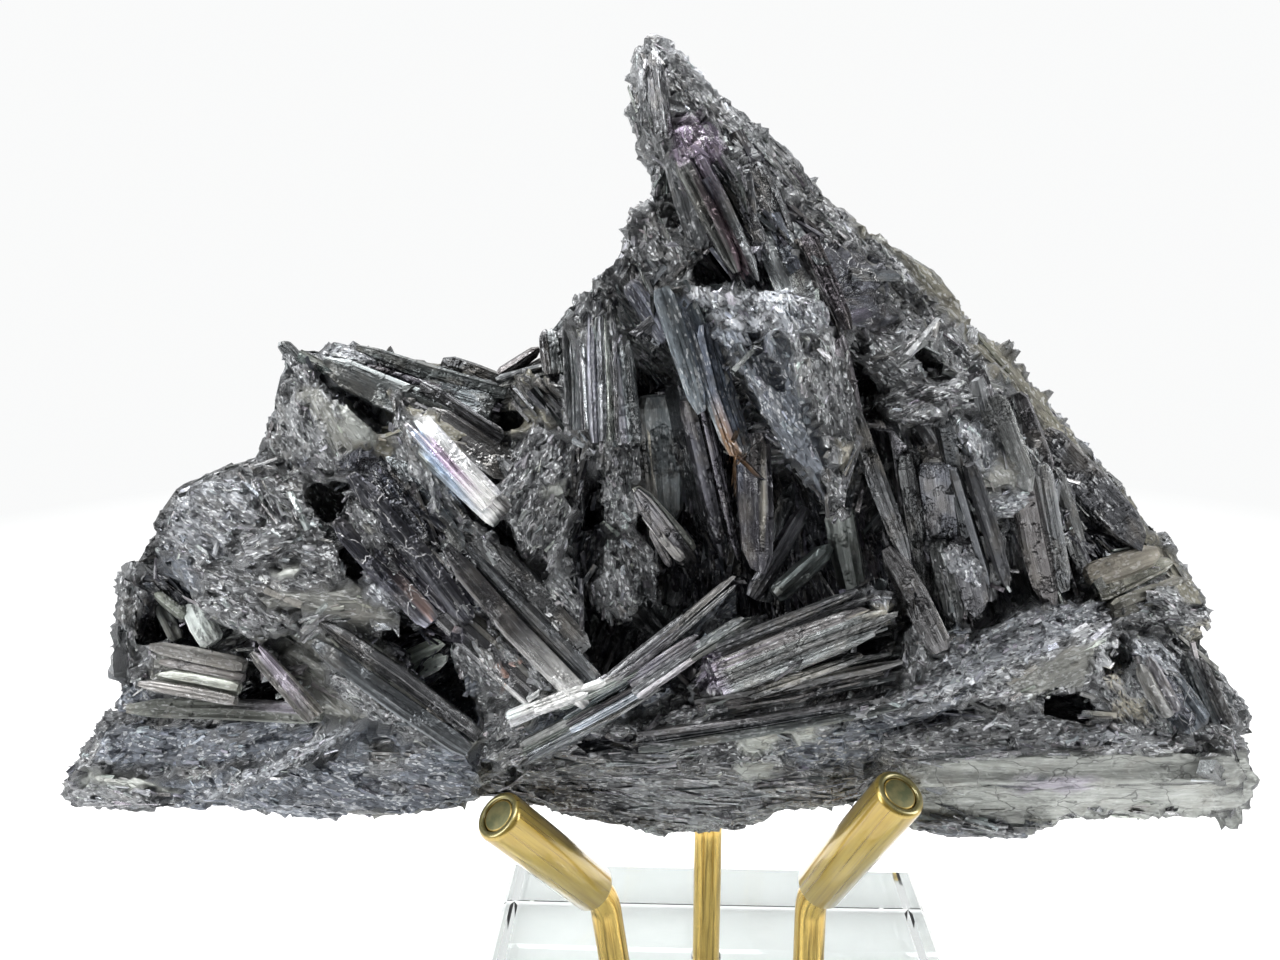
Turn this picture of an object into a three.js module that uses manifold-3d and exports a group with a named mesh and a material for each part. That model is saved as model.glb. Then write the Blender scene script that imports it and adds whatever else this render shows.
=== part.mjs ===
// A stibnite crystal cluster, the size of a hand, on a three-rod mineral stand.
//
// Millimetres, +Z up, +Y away from the viewer. The origin is the middle of the underside of the
// stand's block. The stone is one solid: a body, broken faces and ledges on its front, and the
// crystals that grew out of them, all fused. The stand is a clear block, three brass rods set in
// it, and a clear vinyl sleeve on the bent end of each rod.

import * as THREE from "three";
import { ConvexGeometry } from "three/addons/geometries/ConvexGeometry.js";
import { mergeVertices } from "three/addons/utils/BufferGeometryUtils.js";
import Module from "manifold-3d";

const wasm = await Module();
wasm.setup();

// Driving dimensions

const BLOCK = { width: 80, depth: 76, height: 20, chamfer: 0.8 };
const ROD = { radius: 2.35, sides: 9, socketDepth: 12, bend: 2.6, bendSteps: 4 };
const SLEEVE = { inner: 2.65, outer: 3.55, rounding: 0.4, sides: 18, overhang: 0.9, start: 3.2 };
const GAP = 0.3; // between pieces that touch

// Each rod stands in the block at foot, turns at bend, and ends at tip.
const RODS = {
  left: { foot: [-13.2, -6.6], bend: [-18.2, -6.6, 45.8], tip: [-31.4, -17.6, 66.2] },
  right: { foot: [13.4, -6.6], bend: [13.2, -6.6, 46.6], tip: [22.2, -18.2, 71.0] },
  rear: { foot: [-1.7, 12.4], bend: [-1.7, 12.4, 47.0], tip: [-2.4, 27.0, 68.0] },
};

// Where the viewer's eye is. A place on the stone is [across, down, depth]: the point of the
// 1280 x 960 view at which it is seen, and its Y in millimetres.
const EYE = new THREE.Vector3(-8.2, -138.6, 144.8);
const VIEW = { across: 640, down: 480, focal: 1000, horizon: 227, vanishing: 674 };
const PITCH = Math.atan((VIEW.down - VIEW.horizon) / VIEW.focal);
const YAW = Math.atan((VIEW.vanishing - VIEW.across) / VIEW.focal);

const FORWARD = new THREE.Vector3(
  -Math.sin(YAW) * Math.cos(PITCH),
  Math.cos(YAW) * Math.cos(PITCH),
  -Math.sin(PITCH),
);
const RIGHT = new THREE.Vector3(Math.cos(YAW), Math.sin(YAW), 0);
const UP = new THREE.Vector3().crossVectors(RIGHT, FORWARD);

// The point at depth y on the line of sight through a point of the view.
function seen([across, down, y]) {
  const ray = FORWARD.clone()
    .addScaledVector(RIGHT, (across - VIEW.across) / VIEW.focal)
    .addScaledVector(UP, (VIEW.down - down) / VIEW.focal);
  return EYE.clone().addScaledVector(ray, (y - EYE.y) / ray.y);
}

// Solids

function solid(geometry) {
  const bare = geometry.clone();
  bare.deleteAttribute("normal");
  bare.deleteAttribute("uv");
  const merged = mergeVertices(bare, 1e-4);
  return new wasm.Manifold(
    new wasm.Mesh({
      numProp: 3,
      vertProperties: new Float32Array(merged.attributes.position.array),
      triVerts: new Uint32Array(merged.index.array),
    }),
  );
}

function geometryOf(made) {
  const { vertProperties, triVerts } = made.getMesh();
  const geometry = new THREE.BufferGeometry();
  geometry.setAttribute("position", new THREE.BufferAttribute(vertProperties, 3));
  geometry.setIndex(new THREE.BufferAttribute(triVerts, 1));
  geometry.computeVertexNormals();
  return geometry;
}

const hull = (points) => solid(new ConvexGeometry(points));
const join = (solids) => solids.reduce((sum, next) => sum.add(next));

// The stone's body: convex lumps whose rims are the outline, each with a back of its own

const BODY = {
  peak: [
    [652, 34, 0], [678, 55, 0], [638, 50, -1], [630, 100, -1], [640, 152, -2], [654, 202, -2],
    [734, 97, 2], [830, 198, 6], [868, 224, 8], [780, 290, 0], [680, 290, -2],
    [660, 62, 7], [652, 112, 9], [690, 112, 13], [668, 200, 14], [815, 232, 20], [740, 282, 22],
  ],
  shoulder: [
    [654, 202, -2], [618, 245, -2], [592, 282, -2], [552, 330, -1], [540, 362, 0],
    [868, 224, 8], [936, 267, 11], [972, 334, 11], [1000, 420, 6], [560, 440, 0],
    [650, 262, 15], [605, 345, 17], [870, 275, 22], [925, 330, 23], [720, 400, 27],
    [620, 430, 24], [930, 430, 25],
  ],
  rightFlank: [
    [950, 300, 11], [997, 342, 12], [1190, 570, 8], [1216, 612, 3], [1203, 632, 1],
    [1000, 680, 0], [870, 640, -1], [900, 400, 2],
    [950, 335, 21], [990, 385, 24], [1100, 505, 22], [1160, 590, 15], [990, 620, 26],
    [900, 560, 28],
  ],
  rightFoot: [
    [1203, 632, 1], [1208, 683, -1], [1240, 713, -3], [1249, 777, -5], [1245, 806, -7],
    [1226, 815, -8], [1081, 818, -9], [911, 826, -8], [860, 650, 0],
    [1100, 620, 2], [1170, 700, 11], [1190, 775, 6], [1000, 790, 10], [920, 700, 22],
    [1080, 680, 18],
  ],
  middle: [
    [560, 400, 0], [900, 400, 0], [900, 796, -6], [735, 824, -5], [690, 832, -5],
    [620, 824, -5], [480, 800, -6], [470, 520, 0],
    [640, 440, 25], [850, 440, 28], [850, 640, 27], [850, 752, 12], [620, 772, 12],
    [530, 730, 14], [510, 560, 21], [600, 620, 26],
  ],
  leftCrest: [
    [283, 343, 0], [342, 342, 2], [398, 354, 2], [443, 362, 2], [497, 382, 1], [545, 400, 0],
    [560, 440, 0], [560, 640, -2], [300, 600, -4], [252, 455, -2], [274, 425, 0], [274, 390, 0],
    [330, 382, 10], [430, 392, 12], [520, 425, 18], [520, 600, 20], [340, 560, 14],
  ],
  leftMass: [
    [252, 455, -2], [184, 480, -3], [173, 512, -4], [138, 553, -5], [121, 582, -5],
    [118, 626, -6], [117, 650, -6], [121, 680, -6], [330, 720, -6], [520, 690, 0],
    [500, 600, 1], [340, 440, -2], [215, 515, 7], [165, 600, 7], [300, 500, 12], [340, 660, 12],
  ],
  leftWing: [
    [120, 700, -6], [101, 724, -7], [68, 781, -8], [65, 797, -9], [78, 806, -10],
    [240, 806, -10], [380, 817, -10], [480, 802, -8], [500, 660, -4], [300, 640, -4],
    [145, 722, 3], [115, 782, -1], [260, 780, 7], [460, 770, 11], [420, 700, 14],
  ],
};

// The broken faces and ledges of the front. Each runs straight back into the body along the
// line of sight, so that the hollows between them stay open.

const ROOT_DEPTH = 3;
const SPREAD = 0.0031; // each is a little larger than drawn, by a share of its own

// A broken face, from its corners in view back to its root.
function ledge(corners, order) {
  const middle = [0, 1].map((axis) => corners.reduce((sum, c) => sum + c[axis], 0) / corners.length);
  const grow = 1 + SPREAD * (1 + (order % 6));
  const rim = corners.map(([a, d, y]) => [
    middle[0] + grow * (a - middle[0]),
    middle[1] + grow * (d - middle[1]),
    y,
  ]);
  const root = rim.map(([a, d]) => [a, d, ROOT_DEPTH + 0.3 * (order % 4)]);
  return hull([...rim, ...root].map(seen));
}

const FACES = {
  wingTop: [
    [64, 797, -10], [66, 780, -9], [100, 722, -8], [118, 706, -8], [250, 712, -12],
    [330, 716, -15], [300, 770, -17], [240, 806, -14], [78, 806, -11],
  ],
  wingKeel: [
    [240, 806, -14], [330, 716, -15], [420, 704, -16], [478, 742, -15], [482, 800, -11],
    [380, 818, -13], [300, 812, -14],
  ],
  tonguePlates: [
    [262, 640, -12], [330, 632, -14], [400, 652, -15], [470, 740, -16], [400, 732, -17],
    [330, 716, -16], [300, 690, -14],
  ],
  leftHeap: [
    [178, 490, -7], [250, 462, -6], [300, 482, -9], [345, 560, -14], [330, 610, -16],
    [250, 628, -17], [201, 608, -16], [160, 565, -13], [150, 538, -10],
  ],
  heapTongue: [
    [250, 597, -16], [349, 582, -14], [398, 618, -15], [372, 642, -14], [300, 642, -15],
    [247, 629, -16],
  ],
  leftRim: [
    [121, 582, -8], [160, 565, -11], [163, 590, -8], [146, 640, -7], [116, 648, -8],
    [116, 626, -8],
  ],
  fanSeat: [
    [130, 648, -9], [170, 640, -10], [209, 648, -11], [250, 662, -12], [246, 695, -12],
    [195, 704, -12], [120, 694, -9],
  ],
  crestBlock: [
    [283, 343, -2], [308, 364, -6], [333, 400, -8], [358, 444, -10], [345, 482, -11],
    [300, 490, -9], [262, 440, -5], [274, 425, -4], [274, 390, -3],
  ],
  paleCleavage: [
    [336, 398, -5], [377, 427, -7], [384, 452, -8], [362, 454, -10], [345, 430, -8],
  ],
  plateSeat: [
    [392, 392, -5], [412, 386, -6], [426, 430, -10], [468, 512, -13], [455, 530, -12],
    [400, 470, -9], [388, 430, -7],
  ],
  diagonalBand: [
    [440, 520, -8], [480, 520, -12], [530, 590, -14], [592, 665, -15], [560, 692, -15],
    [500, 664, -14], [440, 592, -11],
  ],
  midKnob: [
    [500, 430, -7], [560, 420, -9], [592, 450, -11], [580, 520, -12], [560, 590, -13],
    [520, 562, -12], [497, 490, -10],
  ],
  midWedge: [
    [522, 596, -12], [572, 560, -11], [580, 600, -13], [580, 658, -14], [556, 640, -14],
  ],
  smallBlock: [
    [498, 378, -3], [527, 367, -4], [567, 397, -8], [548, 424, -9], [505, 412, -6],
  ],
  centreLeft: [
    [567, 315, -5], [594, 284, -4], [613, 297, -7], [626, 350, -10], [636, 420, -9],
    [613, 455, -12], [571, 430, -10], [552, 370, -6],
  ],
  innerKnob: [
    [578, 540, -8], [620, 500, -7], [648, 545, -8], [655, 600, -10], [625, 628, -12],
    [595, 612, -11], [583, 570, -10],
  ],
  spur: [
    [540, 340, -3], [551, 329, -3], [566, 316, -4], [566, 370, -6], [543, 366, -4],
  ],
  upperKnob: [
    [619, 240, -5], [636, 212, -5], [655, 204, -6], [690, 240, -9], [698, 285, -11],
    [670, 292, -10], [630, 272, -7], [617, 262, -5],
  ],
  knobColumn: [
    [622, 262, -5], [648, 262, -8], [660, 324, -9], [640, 334, -7],
  ],
  peakRidge: [
    [652, 34, -2], [665, 40, -3], [676, 56, -4], [674, 110, -7], [668, 160, -8],
    [656, 168, -5], [640, 150, -4], [630, 100, -4], [637, 48, -2],
  ],
  peakSlope: [
    [665, 40, -3], [707, 78, -2], [762, 124, -1], [800, 170, 0], [788, 192, -5],
    [732, 152, -8], [700, 118, -8], [676, 96, -7],
  ],
  peakPlate: [
    [672, 121, -8], [700, 113, -9], [728, 146, -10], [716, 164, -11], [690, 160, -10],
    [670, 148, -9],
  ],
  slopeBand: [
    [762, 124, -1], [830, 197, 2], [856, 219, 3], [900, 262, 3], [880, 282, -3],
    [830, 252, -6], [780, 216, -8], [740, 165, -7],
  ],
  slopePlates: [
    [820, 256, -7], [852, 246, -6], [894, 294, -5], [902, 318, -6], [868, 344, -9],
    [842, 328, -10], [828, 300, -9],
  ],
  lowerSlope: [
    [880, 246, 2], [909, 276, 2], [951, 322, 2], [985, 360, 1], [1012, 384, 0],
    [1000, 402, -4], [950, 374, -6], [900, 330, -6],
  ],
  rindUpper: [
    [873, 232, 8], [903, 257, 9], [936, 267, 11], [959, 303, 11], [972, 334, 11],
    [951, 324, 3], [905, 276, 3],
  ],
  rindLower: [
    [972, 334, 11], [997, 342, 12], [1046, 397, 11], [1113, 479, 10], [1190, 570, 8],
    [1215, 611, 4], [1152, 552, 1], [1091, 499, 1], [1038, 434, 1], [985, 358, 2],
  ],
  rightRoof: [
    [870, 392, -7], [905, 382, -7], [960, 376, -7], [1004, 398, -6], [1010, 440, -9],
    [960, 472, -13], [900, 462, -11],
  ],
  daggerHead: [
    [700, 288, -12], [735, 296, -15], [790, 288, -15], [834, 302, -14], [840, 350, -16],
    [735, 372, -16],
  ],
  dagger: [
    [718, 335, -15], [800, 320, -16], [838, 330, -16], [855, 410, -18], [849, 500, -20],
    [836, 516, -20], [790, 462, -19], [742, 380, -17],
  ],
  rightLedge: [
    [890, 652, -10], [1107, 597, -6], [1126, 617, -8], [1011, 678, -13], [930, 708, -15],
    [885, 696, -13],
  ],
  rightShoulder: [
    [1107, 597, -4], [1180, 574, 0], [1216, 611, 2], [1203, 632, 0], [1140, 652, -6],
    [1100, 640, -8],
  ],
  rightHeel: [
    [1136, 650, -7], [1195, 644, -3], [1211, 683, -4], [1242, 713, -6], [1236, 742, -9],
    [1120, 738, -13], [1088, 700, -12],
  ],
  paleSlab: [
    [905, 765, -15], [1010, 757, -16], [1086, 755, -16], [1234, 751, -14], [1251, 779, -13],
    [1247, 808, -12], [1226, 818, -11], [1122, 815, -12], [1050, 812, -13], [900, 800, -11],
  ],
  slabRoot: [
    [905, 795, -13], [1100, 795, -14], [1050, 829, -12], [1013, 839, -11], [960, 840, -11],
    [911, 829, -10],
  ],
  slabLedge: [
    [885, 736, -14], [1000, 702, -14], [1120, 727, -13], [1236, 740, -10], [1240, 754, -13],
    [1086, 760, -15], [900, 770, -14],
  ],
  bottomMass: [
    [540, 760, -13], [640, 738, -14], [720, 720, -15], [830, 716, -15], [905, 730, -14],
    [895, 770, -12], [860, 800, -8], [800, 804, -8], [560, 806, -8], [500, 786, -10],
  ],
  bottomRidge: [
    [545, 790, -10], [760, 780, -11], [790, 804, -8], [745, 811, -7], [735, 827, -6],
    [690, 834, -6], [620, 826, -6], [550, 812, -7],
  ],
  lowerBand: [
    [470, 690, -12], [520, 692, -14], [640, 692, -13], [710, 690, -14], [720, 722, -15],
    [640, 746, -15], [520, 768, -14], [476, 746, -14],
  ],
};

// Crystals that stand out on their own. A crystal runs from its foot to its tip; wide is across
// the view and thick is towards the viewer. count crystals share that width side by side.

const CRYSTALS = {
  crown: [
    { foot: [505, 402, -3], tip: [341, 351, 0], wide: 4.4, thick: 4, count: 2 },
    { foot: [505, 394, 0], tip: [444, 367, 2], wide: 4.0, thick: 4, count: 2 },
    { foot: [470, 428, -6], tip: [300, 353, -3], wide: 3.4, thick: 3.5, count: 1 },
    { foot: [490, 412, -5], tip: [372, 374, -1], wide: 3.6, thick: 4, count: 2 },
    { foot: [500, 446, -7], tip: [408, 386, -4], wide: 4.0, thick: 4, count: 2 },
    { foot: [512, 470, -9], tip: [430, 408, -7], wide: 3.0, thick: 4, count: 1 },
  ],
  brightPlate: [{ foot: [502, 520, -15], tip: [419, 408, -10], wide: 4.6, thick: 3, count: 1 }],
  darkPlates: [
    { foot: [474, 612, -13], tip: [352, 462, -8], wide: 6.0, thick: 4, count: 1 },
    { foot: [452, 560, -12], tip: [372, 455, -7], wide: 4.4, thick: 4, count: 1 },
    { foot: [440, 616, -13], tip: [338, 514, -9], wide: 5.0, thick: 4, count: 1 },
  ],
  diagonals: [
    { foot: [592, 694, -16], tip: [440, 532, -11], wide: 4.6, thick: 4, count: 2 },
    { foot: [578, 652, -15], tip: [474, 530, -12], wide: 3.6, thick: 4, count: 1 },
    { foot: [545, 694, -16], tip: [430, 588, -11], wide: 4.6, thick: 4, count: 1 },
    { foot: [470, 742, -17], tip: [300, 620, -15], wide: 4.0, thick: 4, count: 1 },
  ],
  leftPrisms: [
    { foot: [316, 716, -17], tip: [248, 643, -14], wide: 2.6, thick: 3, count: 1 },
    { foot: [190, 616, -9], tip: [152, 582, -6], wide: 2.0, thick: 3, count: 1 },
    { foot: [178, 640, -8], tip: [156, 588, -5], wide: 1.8, thick: 3, count: 1 },
    { foot: [214, 644, -11], tip: [186, 600, -8], wide: 2.4, thick: 3, count: 1 },
    { foot: [320, 714, -14], tip: [112, 706, -9], wide: 2.2, thick: 4, count: 1 },
    { foot: [388, 668, -6], tip: [452, 638, -10], wide: 1.6, thick: 3, count: 1 },
    { foot: [398, 682, -7], tip: [458, 652, -11], wide: 1.6, thick: 3, count: 1 },
  ],
  ribbedFan: [
    { foot: [244, 684, -14], tip: [152, 666, -11], wide: 6.2, thick: 3, count: 4 },
  ],
  centreFan: [
    { foot: [655, 396, -4], tip: [668, 520, -1], wide: 3.4, thick: 5, count: 1 },
    { foot: [674, 388, -6], tip: [701, 545, -3], wide: 3.6, thick: 5, count: 1 },
    { foot: [694, 396, -8], tip: [733, 556, -5], wide: 3.8, thick: 5, count: 1 },
    { foot: [752, 436, -8], tip: [751, 590, -11], wide: 3.6, thick: 5, count: 1 },
    { foot: [752, 598, -12], tip: [811, 497, -7], wide: 2.4, thick: 4, count: 1 },
    { foot: [764, 600, -10], tip: [790, 488, -4], wide: 1.8, thick: 4, count: 1 },
    { foot: [776, 596, -13], tip: [836, 538, -9], wide: 3.0, thick: 4, count: 2 },
    { foot: [838, 505, -9], tip: [856, 600, -6], wide: 2.4, thick: 4, count: 1 },
    { foot: [640, 420, -4], tip: [652, 556, -1], wide: 3.0, thick: 5, count: 1 },
    { foot: [688, 560, -5], tip: [631, 482, -9], wide: 1.8, thick: 4, count: 1 },
    { foot: [632, 600, -11], tip: [662, 634, -8], wide: 2.4, thick: 4, count: 2 },
  ],
  blueBlades: [
    { foot: [672, 288, -10], tip: [714, 408, -13], wide: 5.0, thick: 5, count: 1 },
    { foot: [700, 330, -11], tip: [744, 466, -14], wide: 4.4, thick: 5, count: 1 },
    { foot: [632, 288, -6], tip: [668, 352, -9], wide: 3.0, thick: 4, count: 1 },
  ],
  peakBlades: [
    { foot: [690, 160, -8], tip: [752, 287, -12], wide: 4.2, thick: 5, count: 2 },
    { foot: [716, 160, -8], tip: [768, 268, -10], wide: 3.6, thick: 5, count: 1 },
    { foot: [676, 152, -7], tip: [702, 262, -9], wide: 2.8, thick: 4, count: 1 },
    { foot: [748, 170, -6], tip: [792, 262, -9], wide: 3.2, thick: 5, count: 1 },
    { foot: [774, 236, -8], tip: [820, 336, -13], wide: 3.6, thick: 5, count: 1 },
    { foot: [802, 244, -8], tip: [848, 352, -12], wide: 3.8, thick: 5, count: 1 },
    { foot: [664, 140, -8], tip: [650, 52, -5], wide: 2.6, thick: 3, count: 2 },
  ],
  leftColumns: [
    { foot: [580, 430, -11], tip: [574, 322, -7], wide: 3.4, thick: 4, count: 1 },
    { foot: [606, 440, -13], tip: [602, 300, -8], wide: 3.6, thick: 4, count: 1 },
    { foot: [628, 440, -11], tip: [618, 340, -10], wide: 3.2, thick: 4, count: 1 },
    { foot: [556, 376, -7], tip: [550, 331, -4], wide: 2.6, thick: 3, count: 2 },
  ],
  daggerRibs: [
    { foot: [728, 318, -17], tip: [836, 514, -21], wide: 3.4, thick: 3, count: 1 },
    { foot: [770, 306, -17], tip: [844, 500, -21], wide: 4.4, thick: 3, count: 2 },
    { foot: [812, 300, -16], tip: [852, 470, -19], wide: 3.8, thick: 3, count: 1 },
  ],
  struts: [
    { foot: [838, 336, -13], tip: [862, 448, -11], wide: 3.0, thick: 4, count: 1 },
    { foot: [852, 410, -13], tip: [906, 560, -12], wide: 2.6, thick: 4, count: 1 },
    { foot: [938, 646, -15], tip: [880, 536, -12], wide: 2.8, thick: 4, count: 1 },
  ],
  hangingFan: [
    { foot: [990, 398, -8], tip: [1031, 494, -10], wide: 3.4, thick: 4, count: 2 },
    { foot: [1010, 396, -5], tip: [1048, 484, -7], wide: 3.0, thick: 4, count: 1 },
    { foot: [960, 464, -13], tip: [1006, 602, -11], wide: 4.4, thick: 4, count: 2 },
    { foot: [938, 540, -12], tip: [956, 624, -12], wide: 3.2, thick: 4, count: 1 },
    { foot: [958, 540, -13], tip: [978, 620, -12], wide: 3.2, thick: 4, count: 1 },
    { foot: [884, 430, -10], tip: [906, 604, -7], wide: 3.0, thick: 4, count: 1 },
    { foot: [908, 452, -11], tip: [930, 600, -8], wide: 3.0, thick: 4, count: 1 },
    { foot: [934, 462, -12], tip: [946, 560, -10], wide: 3.2, thick: 4, count: 1 },
    { foot: [1030, 466, -9], tip: [1058, 606, -9], wide: 4.6, thick: 4, count: 2 },
    { foot: [1052, 470, -6], tip: [1086, 562, -6], wide: 2.8, thick: 4, count: 1 },
    { foot: [1040, 436, 0], tip: [1146, 556, -2], wide: 3.2, thick: 5, count: 1 },
  ],
  rightPlates: [
    { foot: [1084, 578, -5], tip: [1152, 552, -1], wide: 2.6, thick: 4, count: 1 },
    { foot: [1096, 596, -6], tip: [1168, 566, -1], wide: 3.0, thick: 4, count: 1 },
    { foot: [1108, 612, -7], tip: [1182, 582, -1], wide: 2.4, thick: 4, count: 1 },
    { foot: [1008, 692, -14], tip: [1102, 644, -12], wide: 4.6, thick: 4, count: 3 },
    { foot: [1190, 728, -13], tip: [1156, 664, -9], wide: 4.6, thick: 4, count: 1 },
    { foot: [1226, 728, -9], tip: [1186, 648, -5], wide: 3.4, thick: 4, count: 2 },
  ],
  bigBundle: [
    { foot: [724, 668, -14], tip: [892, 603, -18], wide: 6.6, thick: 6, count: 4 },
    { foot: [744, 690, -13], tip: [862, 646, -16], wide: 2.6, thick: 4, count: 1 },
  ],
  lowBlades: [
    { foot: [700, 704, -13], tip: [906, 664, -13], wide: 4.6, thick: 5, count: 1 },
    { foot: [760, 716, -15], tip: [1000, 642, -12], wide: 3.2, thick: 4, count: 1 },
    { foot: [640, 742, -16], tip: [950, 690, -16], wide: 3.4, thick: 3, count: 2 },
    { foot: [930, 706, -16], tip: [1112, 612, -10], wide: 3.8, thick: 4, count: 1 },
  ],
  swoosh: [
    { foot: [508, 722, -16], tip: [614, 679, -15], wide: 3.2, thick: 4, count: 1 },
    { foot: [536, 748, -17], tip: [644, 684, -15], wide: 4.6, thick: 4, count: 2 },
    { foot: [622, 702, -16], tip: [702, 618, -13], wide: 4.0, thick: 4, count: 2 },
    { foot: [674, 656, -14], tip: [742, 574, -12], wide: 3.4, thick: 4, count: 1 },
    { foot: [690, 690, -15], tip: [730, 620, -13], wide: 3.0, thick: 4, count: 1 },
  ],
  slabPlates: [
    { foot: [902, 784, -15], tip: [1240, 778, -14], wide: 3.4, thick: 3, count: 1 },
    { foot: [908, 822, -12], tip: [1060, 826, -13], wide: 2.4, thick: 3, count: 1 },
  ],
  back: [
    { foot: [700, 300, 22], tip: [672, 110, 14], wide: 5, thick: 5, count: 1 },
    { foot: [720, 330, 24], tip: [826, 226, 21], wide: 8, thick: 5, count: 2 },
    { foot: [640, 470, 24], tip: [790, 300, 26], wide: 6, thick: 6, count: 1 },
    { foot: [820, 560, 26], tip: [930, 360, 24], wide: 8, thick: 6, count: 2 },
    { foot: [960, 640, 24], tip: [1090, 500, 22], wide: 7, thick: 6, count: 1 },
    { foot: [900, 700, 21], tip: [1170, 650, 13], wide: 6, thick: 6, count: 1 },
    { foot: [600, 660, 24], tip: [840, 660, 26], wide: 8, thick: 6, count: 2 },
    { foot: [560, 640, 21], tip: [520, 440, 18], wide: 7, thick: 6, count: 1 },
    { foot: [480, 620, 18], tip: [320, 500, 13], wide: 8, thick: 5, count: 2 },
    { foot: [440, 740, 12], tip: [190, 640, 9], wide: 6, thick: 5, count: 1 },
  ],
};

const SNUG = 0.96; // how much of its share of a bundle's width a crystal fills
const SHOULDER = 0.86; // where along a crystal its end faces begin
const BROAD = 4; // a wider crystal has six sides, a slimmer one has four
const SIX_SIDED = [[1, 0], [0.55, 1], [-0.55, 1], [-1, 0], [-0.55, -1], [0.55, -1]];
const FOUR_SIDED = [[1, -0.2], [0.1, 1], [-1, 0.2], [-0.1, -1]];
const STEP = [0, 0.09, -0.05, 0.05]; // how the crystals of a bundle differ in length
const LIFT = [0.0, 0.22, 0.1, 0.3]; // and in how far they stand out, as a share of thick

function crystal(foot, tip, wide, thick, across) {
  const along = tip.clone().sub(foot);
  const out = new THREE.Vector3().crossVectors(across, along).normalize();
  const ring = (at, scale) =>
    (wide > BROAD ? SIX_SIDED : FOUR_SIDED).map(([a, o]) =>
      at.clone()
        .addScaledVector(across, (a * scale * wide) / 2)
        .addScaledVector(out, (o * scale * thick) / 2),
    );
  const shoulder = foot.clone().addScaledVector(along, SHOULDER);
  const edge = [-0.3, 0.3].map((a) => tip.clone().addScaledVector(across, a * wide));
  return hull([...ring(foot, 1), ...ring(shoulder, 0.94), ...edge]);
}

function bundle({ foot, tip, wide, thick, count }) {
  const from = seen(foot);
  const to = seen(tip);
  const along = to.clone().sub(from);
  const sight = from.clone().add(to).multiplyScalar(0.5).sub(EYE).normalize();
  const across = new THREE.Vector3().crossVectors(along, sight).normalize();
  const out = new THREE.Vector3().crossVectors(across, along).normalize();
  return Array.from({ length: count }, (_, i) => {
    const side = count > 1 ? ((i + 0.5) / count - 0.5) * wide : 0;
    const shift = across.clone().multiplyScalar(side).addScaledVector(out, LIFT[i] * thick * 0.5);
    const end = to.clone().addScaledVector(along, -STEP[i]).add(shift);
    return crystal(from.clone().add(shift), end, (wide / count) * SNUG, thick, across);
  });
}

// The stand

const point = (xyz) => new THREE.Vector3(...xyz);
const socketFloor = ({ foot }) => point([...foot, BLOCK.height - ROD.socketDepth]);
const direction = (from, to) => to.clone().sub(from).normalize();

// A round solid: the profile's points are [radius, height], turned about the line from `start`
// towards `heading`.
function round(profile, sides, start, heading) {
  const turned = new THREE.LatheGeometry(
    profile.map(([r, z]) => new THREE.Vector2(r, z)),
    sides,
  );
  const up = new THREE.Vector3(0, 1, 0);
  turned.applyQuaternion(new THREE.Quaternion().setFromUnitVectors(up, heading));
  return turned.translate(...start.toArray());
}

// A rod's centre line, with a station at each end and several round the bend.
class CentreLine extends THREE.Curve {
  constructor(foot, corner, end) {
    super();
    const before = corner.clone().addScaledVector(direction(foot, corner), -ROD.bend);
    const after = corner.clone().addScaledVector(direction(corner, end), ROD.bend);
    const bend = new THREE.QuadraticBezierCurve3(before, corner, after);
    const turns = Array.from({ length: ROD.bendSteps + 1 }, (_, i) => i / ROD.bendSteps);
    this.places = [foot, ...turns.map((t) => bend.getPoint(t)), end];
    this.headings = [bend.getTangent(0), ...turns.map((t) => bend.getTangent(t)), bend.getTangent(1)];
  }

  getPointAt(u) {
    return this.places[Math.round(u * (this.places.length - 1))].clone();
  }

  getTangentAt(u) {
    return this.headings[Math.round(u * (this.places.length - 1))].clone();
  }
}

function rod(place) {
  const corner = point(place.bend);
  const floor = socketFloor(place);
  const foot = floor.clone().addScaledVector(direction(floor, corner), GAP);
  const section = new THREE.Shape().absarc(0, 0, ROD.radius, 0, 2 * Math.PI);
  return new THREE.ExtrudeGeometry(section, {
    extrudePath: new CentreLine(foot, corner, point(place.tip)),
    steps: ROD.bendSteps + 2,
    curveSegments: ROD.sides,
    bevelEnabled: false,
  });
}

function sleeve(place) {
  const corner = point(place.bend);
  const heading = direction(corner, point(place.tip));
  const start = corner.addScaledVector(heading, SLEEVE.start);
  const length = start.distanceTo(point(place.tip)) + SLEEVE.overhang;
  const { inner, outer, rounding } = SLEEVE;
  const profile = [
    [inner, 0],
    [outer, 0],
    [outer, length - rounding],
    [outer - rounding, length],
    [inner, length],
    [inner, 0],
  ];
  return round(profile, SLEEVE.sides, start, heading);
}

// The room that a bent, sleeved end needs in the stone that rests on it.
function berth(place) {
  const corner = point(place.bend);
  const heading = direction(corner, point(place.tip));
  const length = corner.distanceTo(point(place.tip)) + SLEEVE.overhang + GAP;
  const radius = SLEEVE.outer + GAP;
  const profile = [[0, 0], [radius, 0], [radius, length], [0, length]];
  return solid(round(profile, SLEEVE.sides, corner, heading));
}

function socket(place) {
  const floor = socketFloor(place);
  const radius = ROD.radius + GAP;
  const profile = [[0, 0], [radius, 0], [radius, 2 * ROD.socketDepth], [0, 2 * ROD.socketDepth]];
  return solid(round(profile, SLEEVE.sides, floor, direction(floor, point(place.bend))));
}

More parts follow.
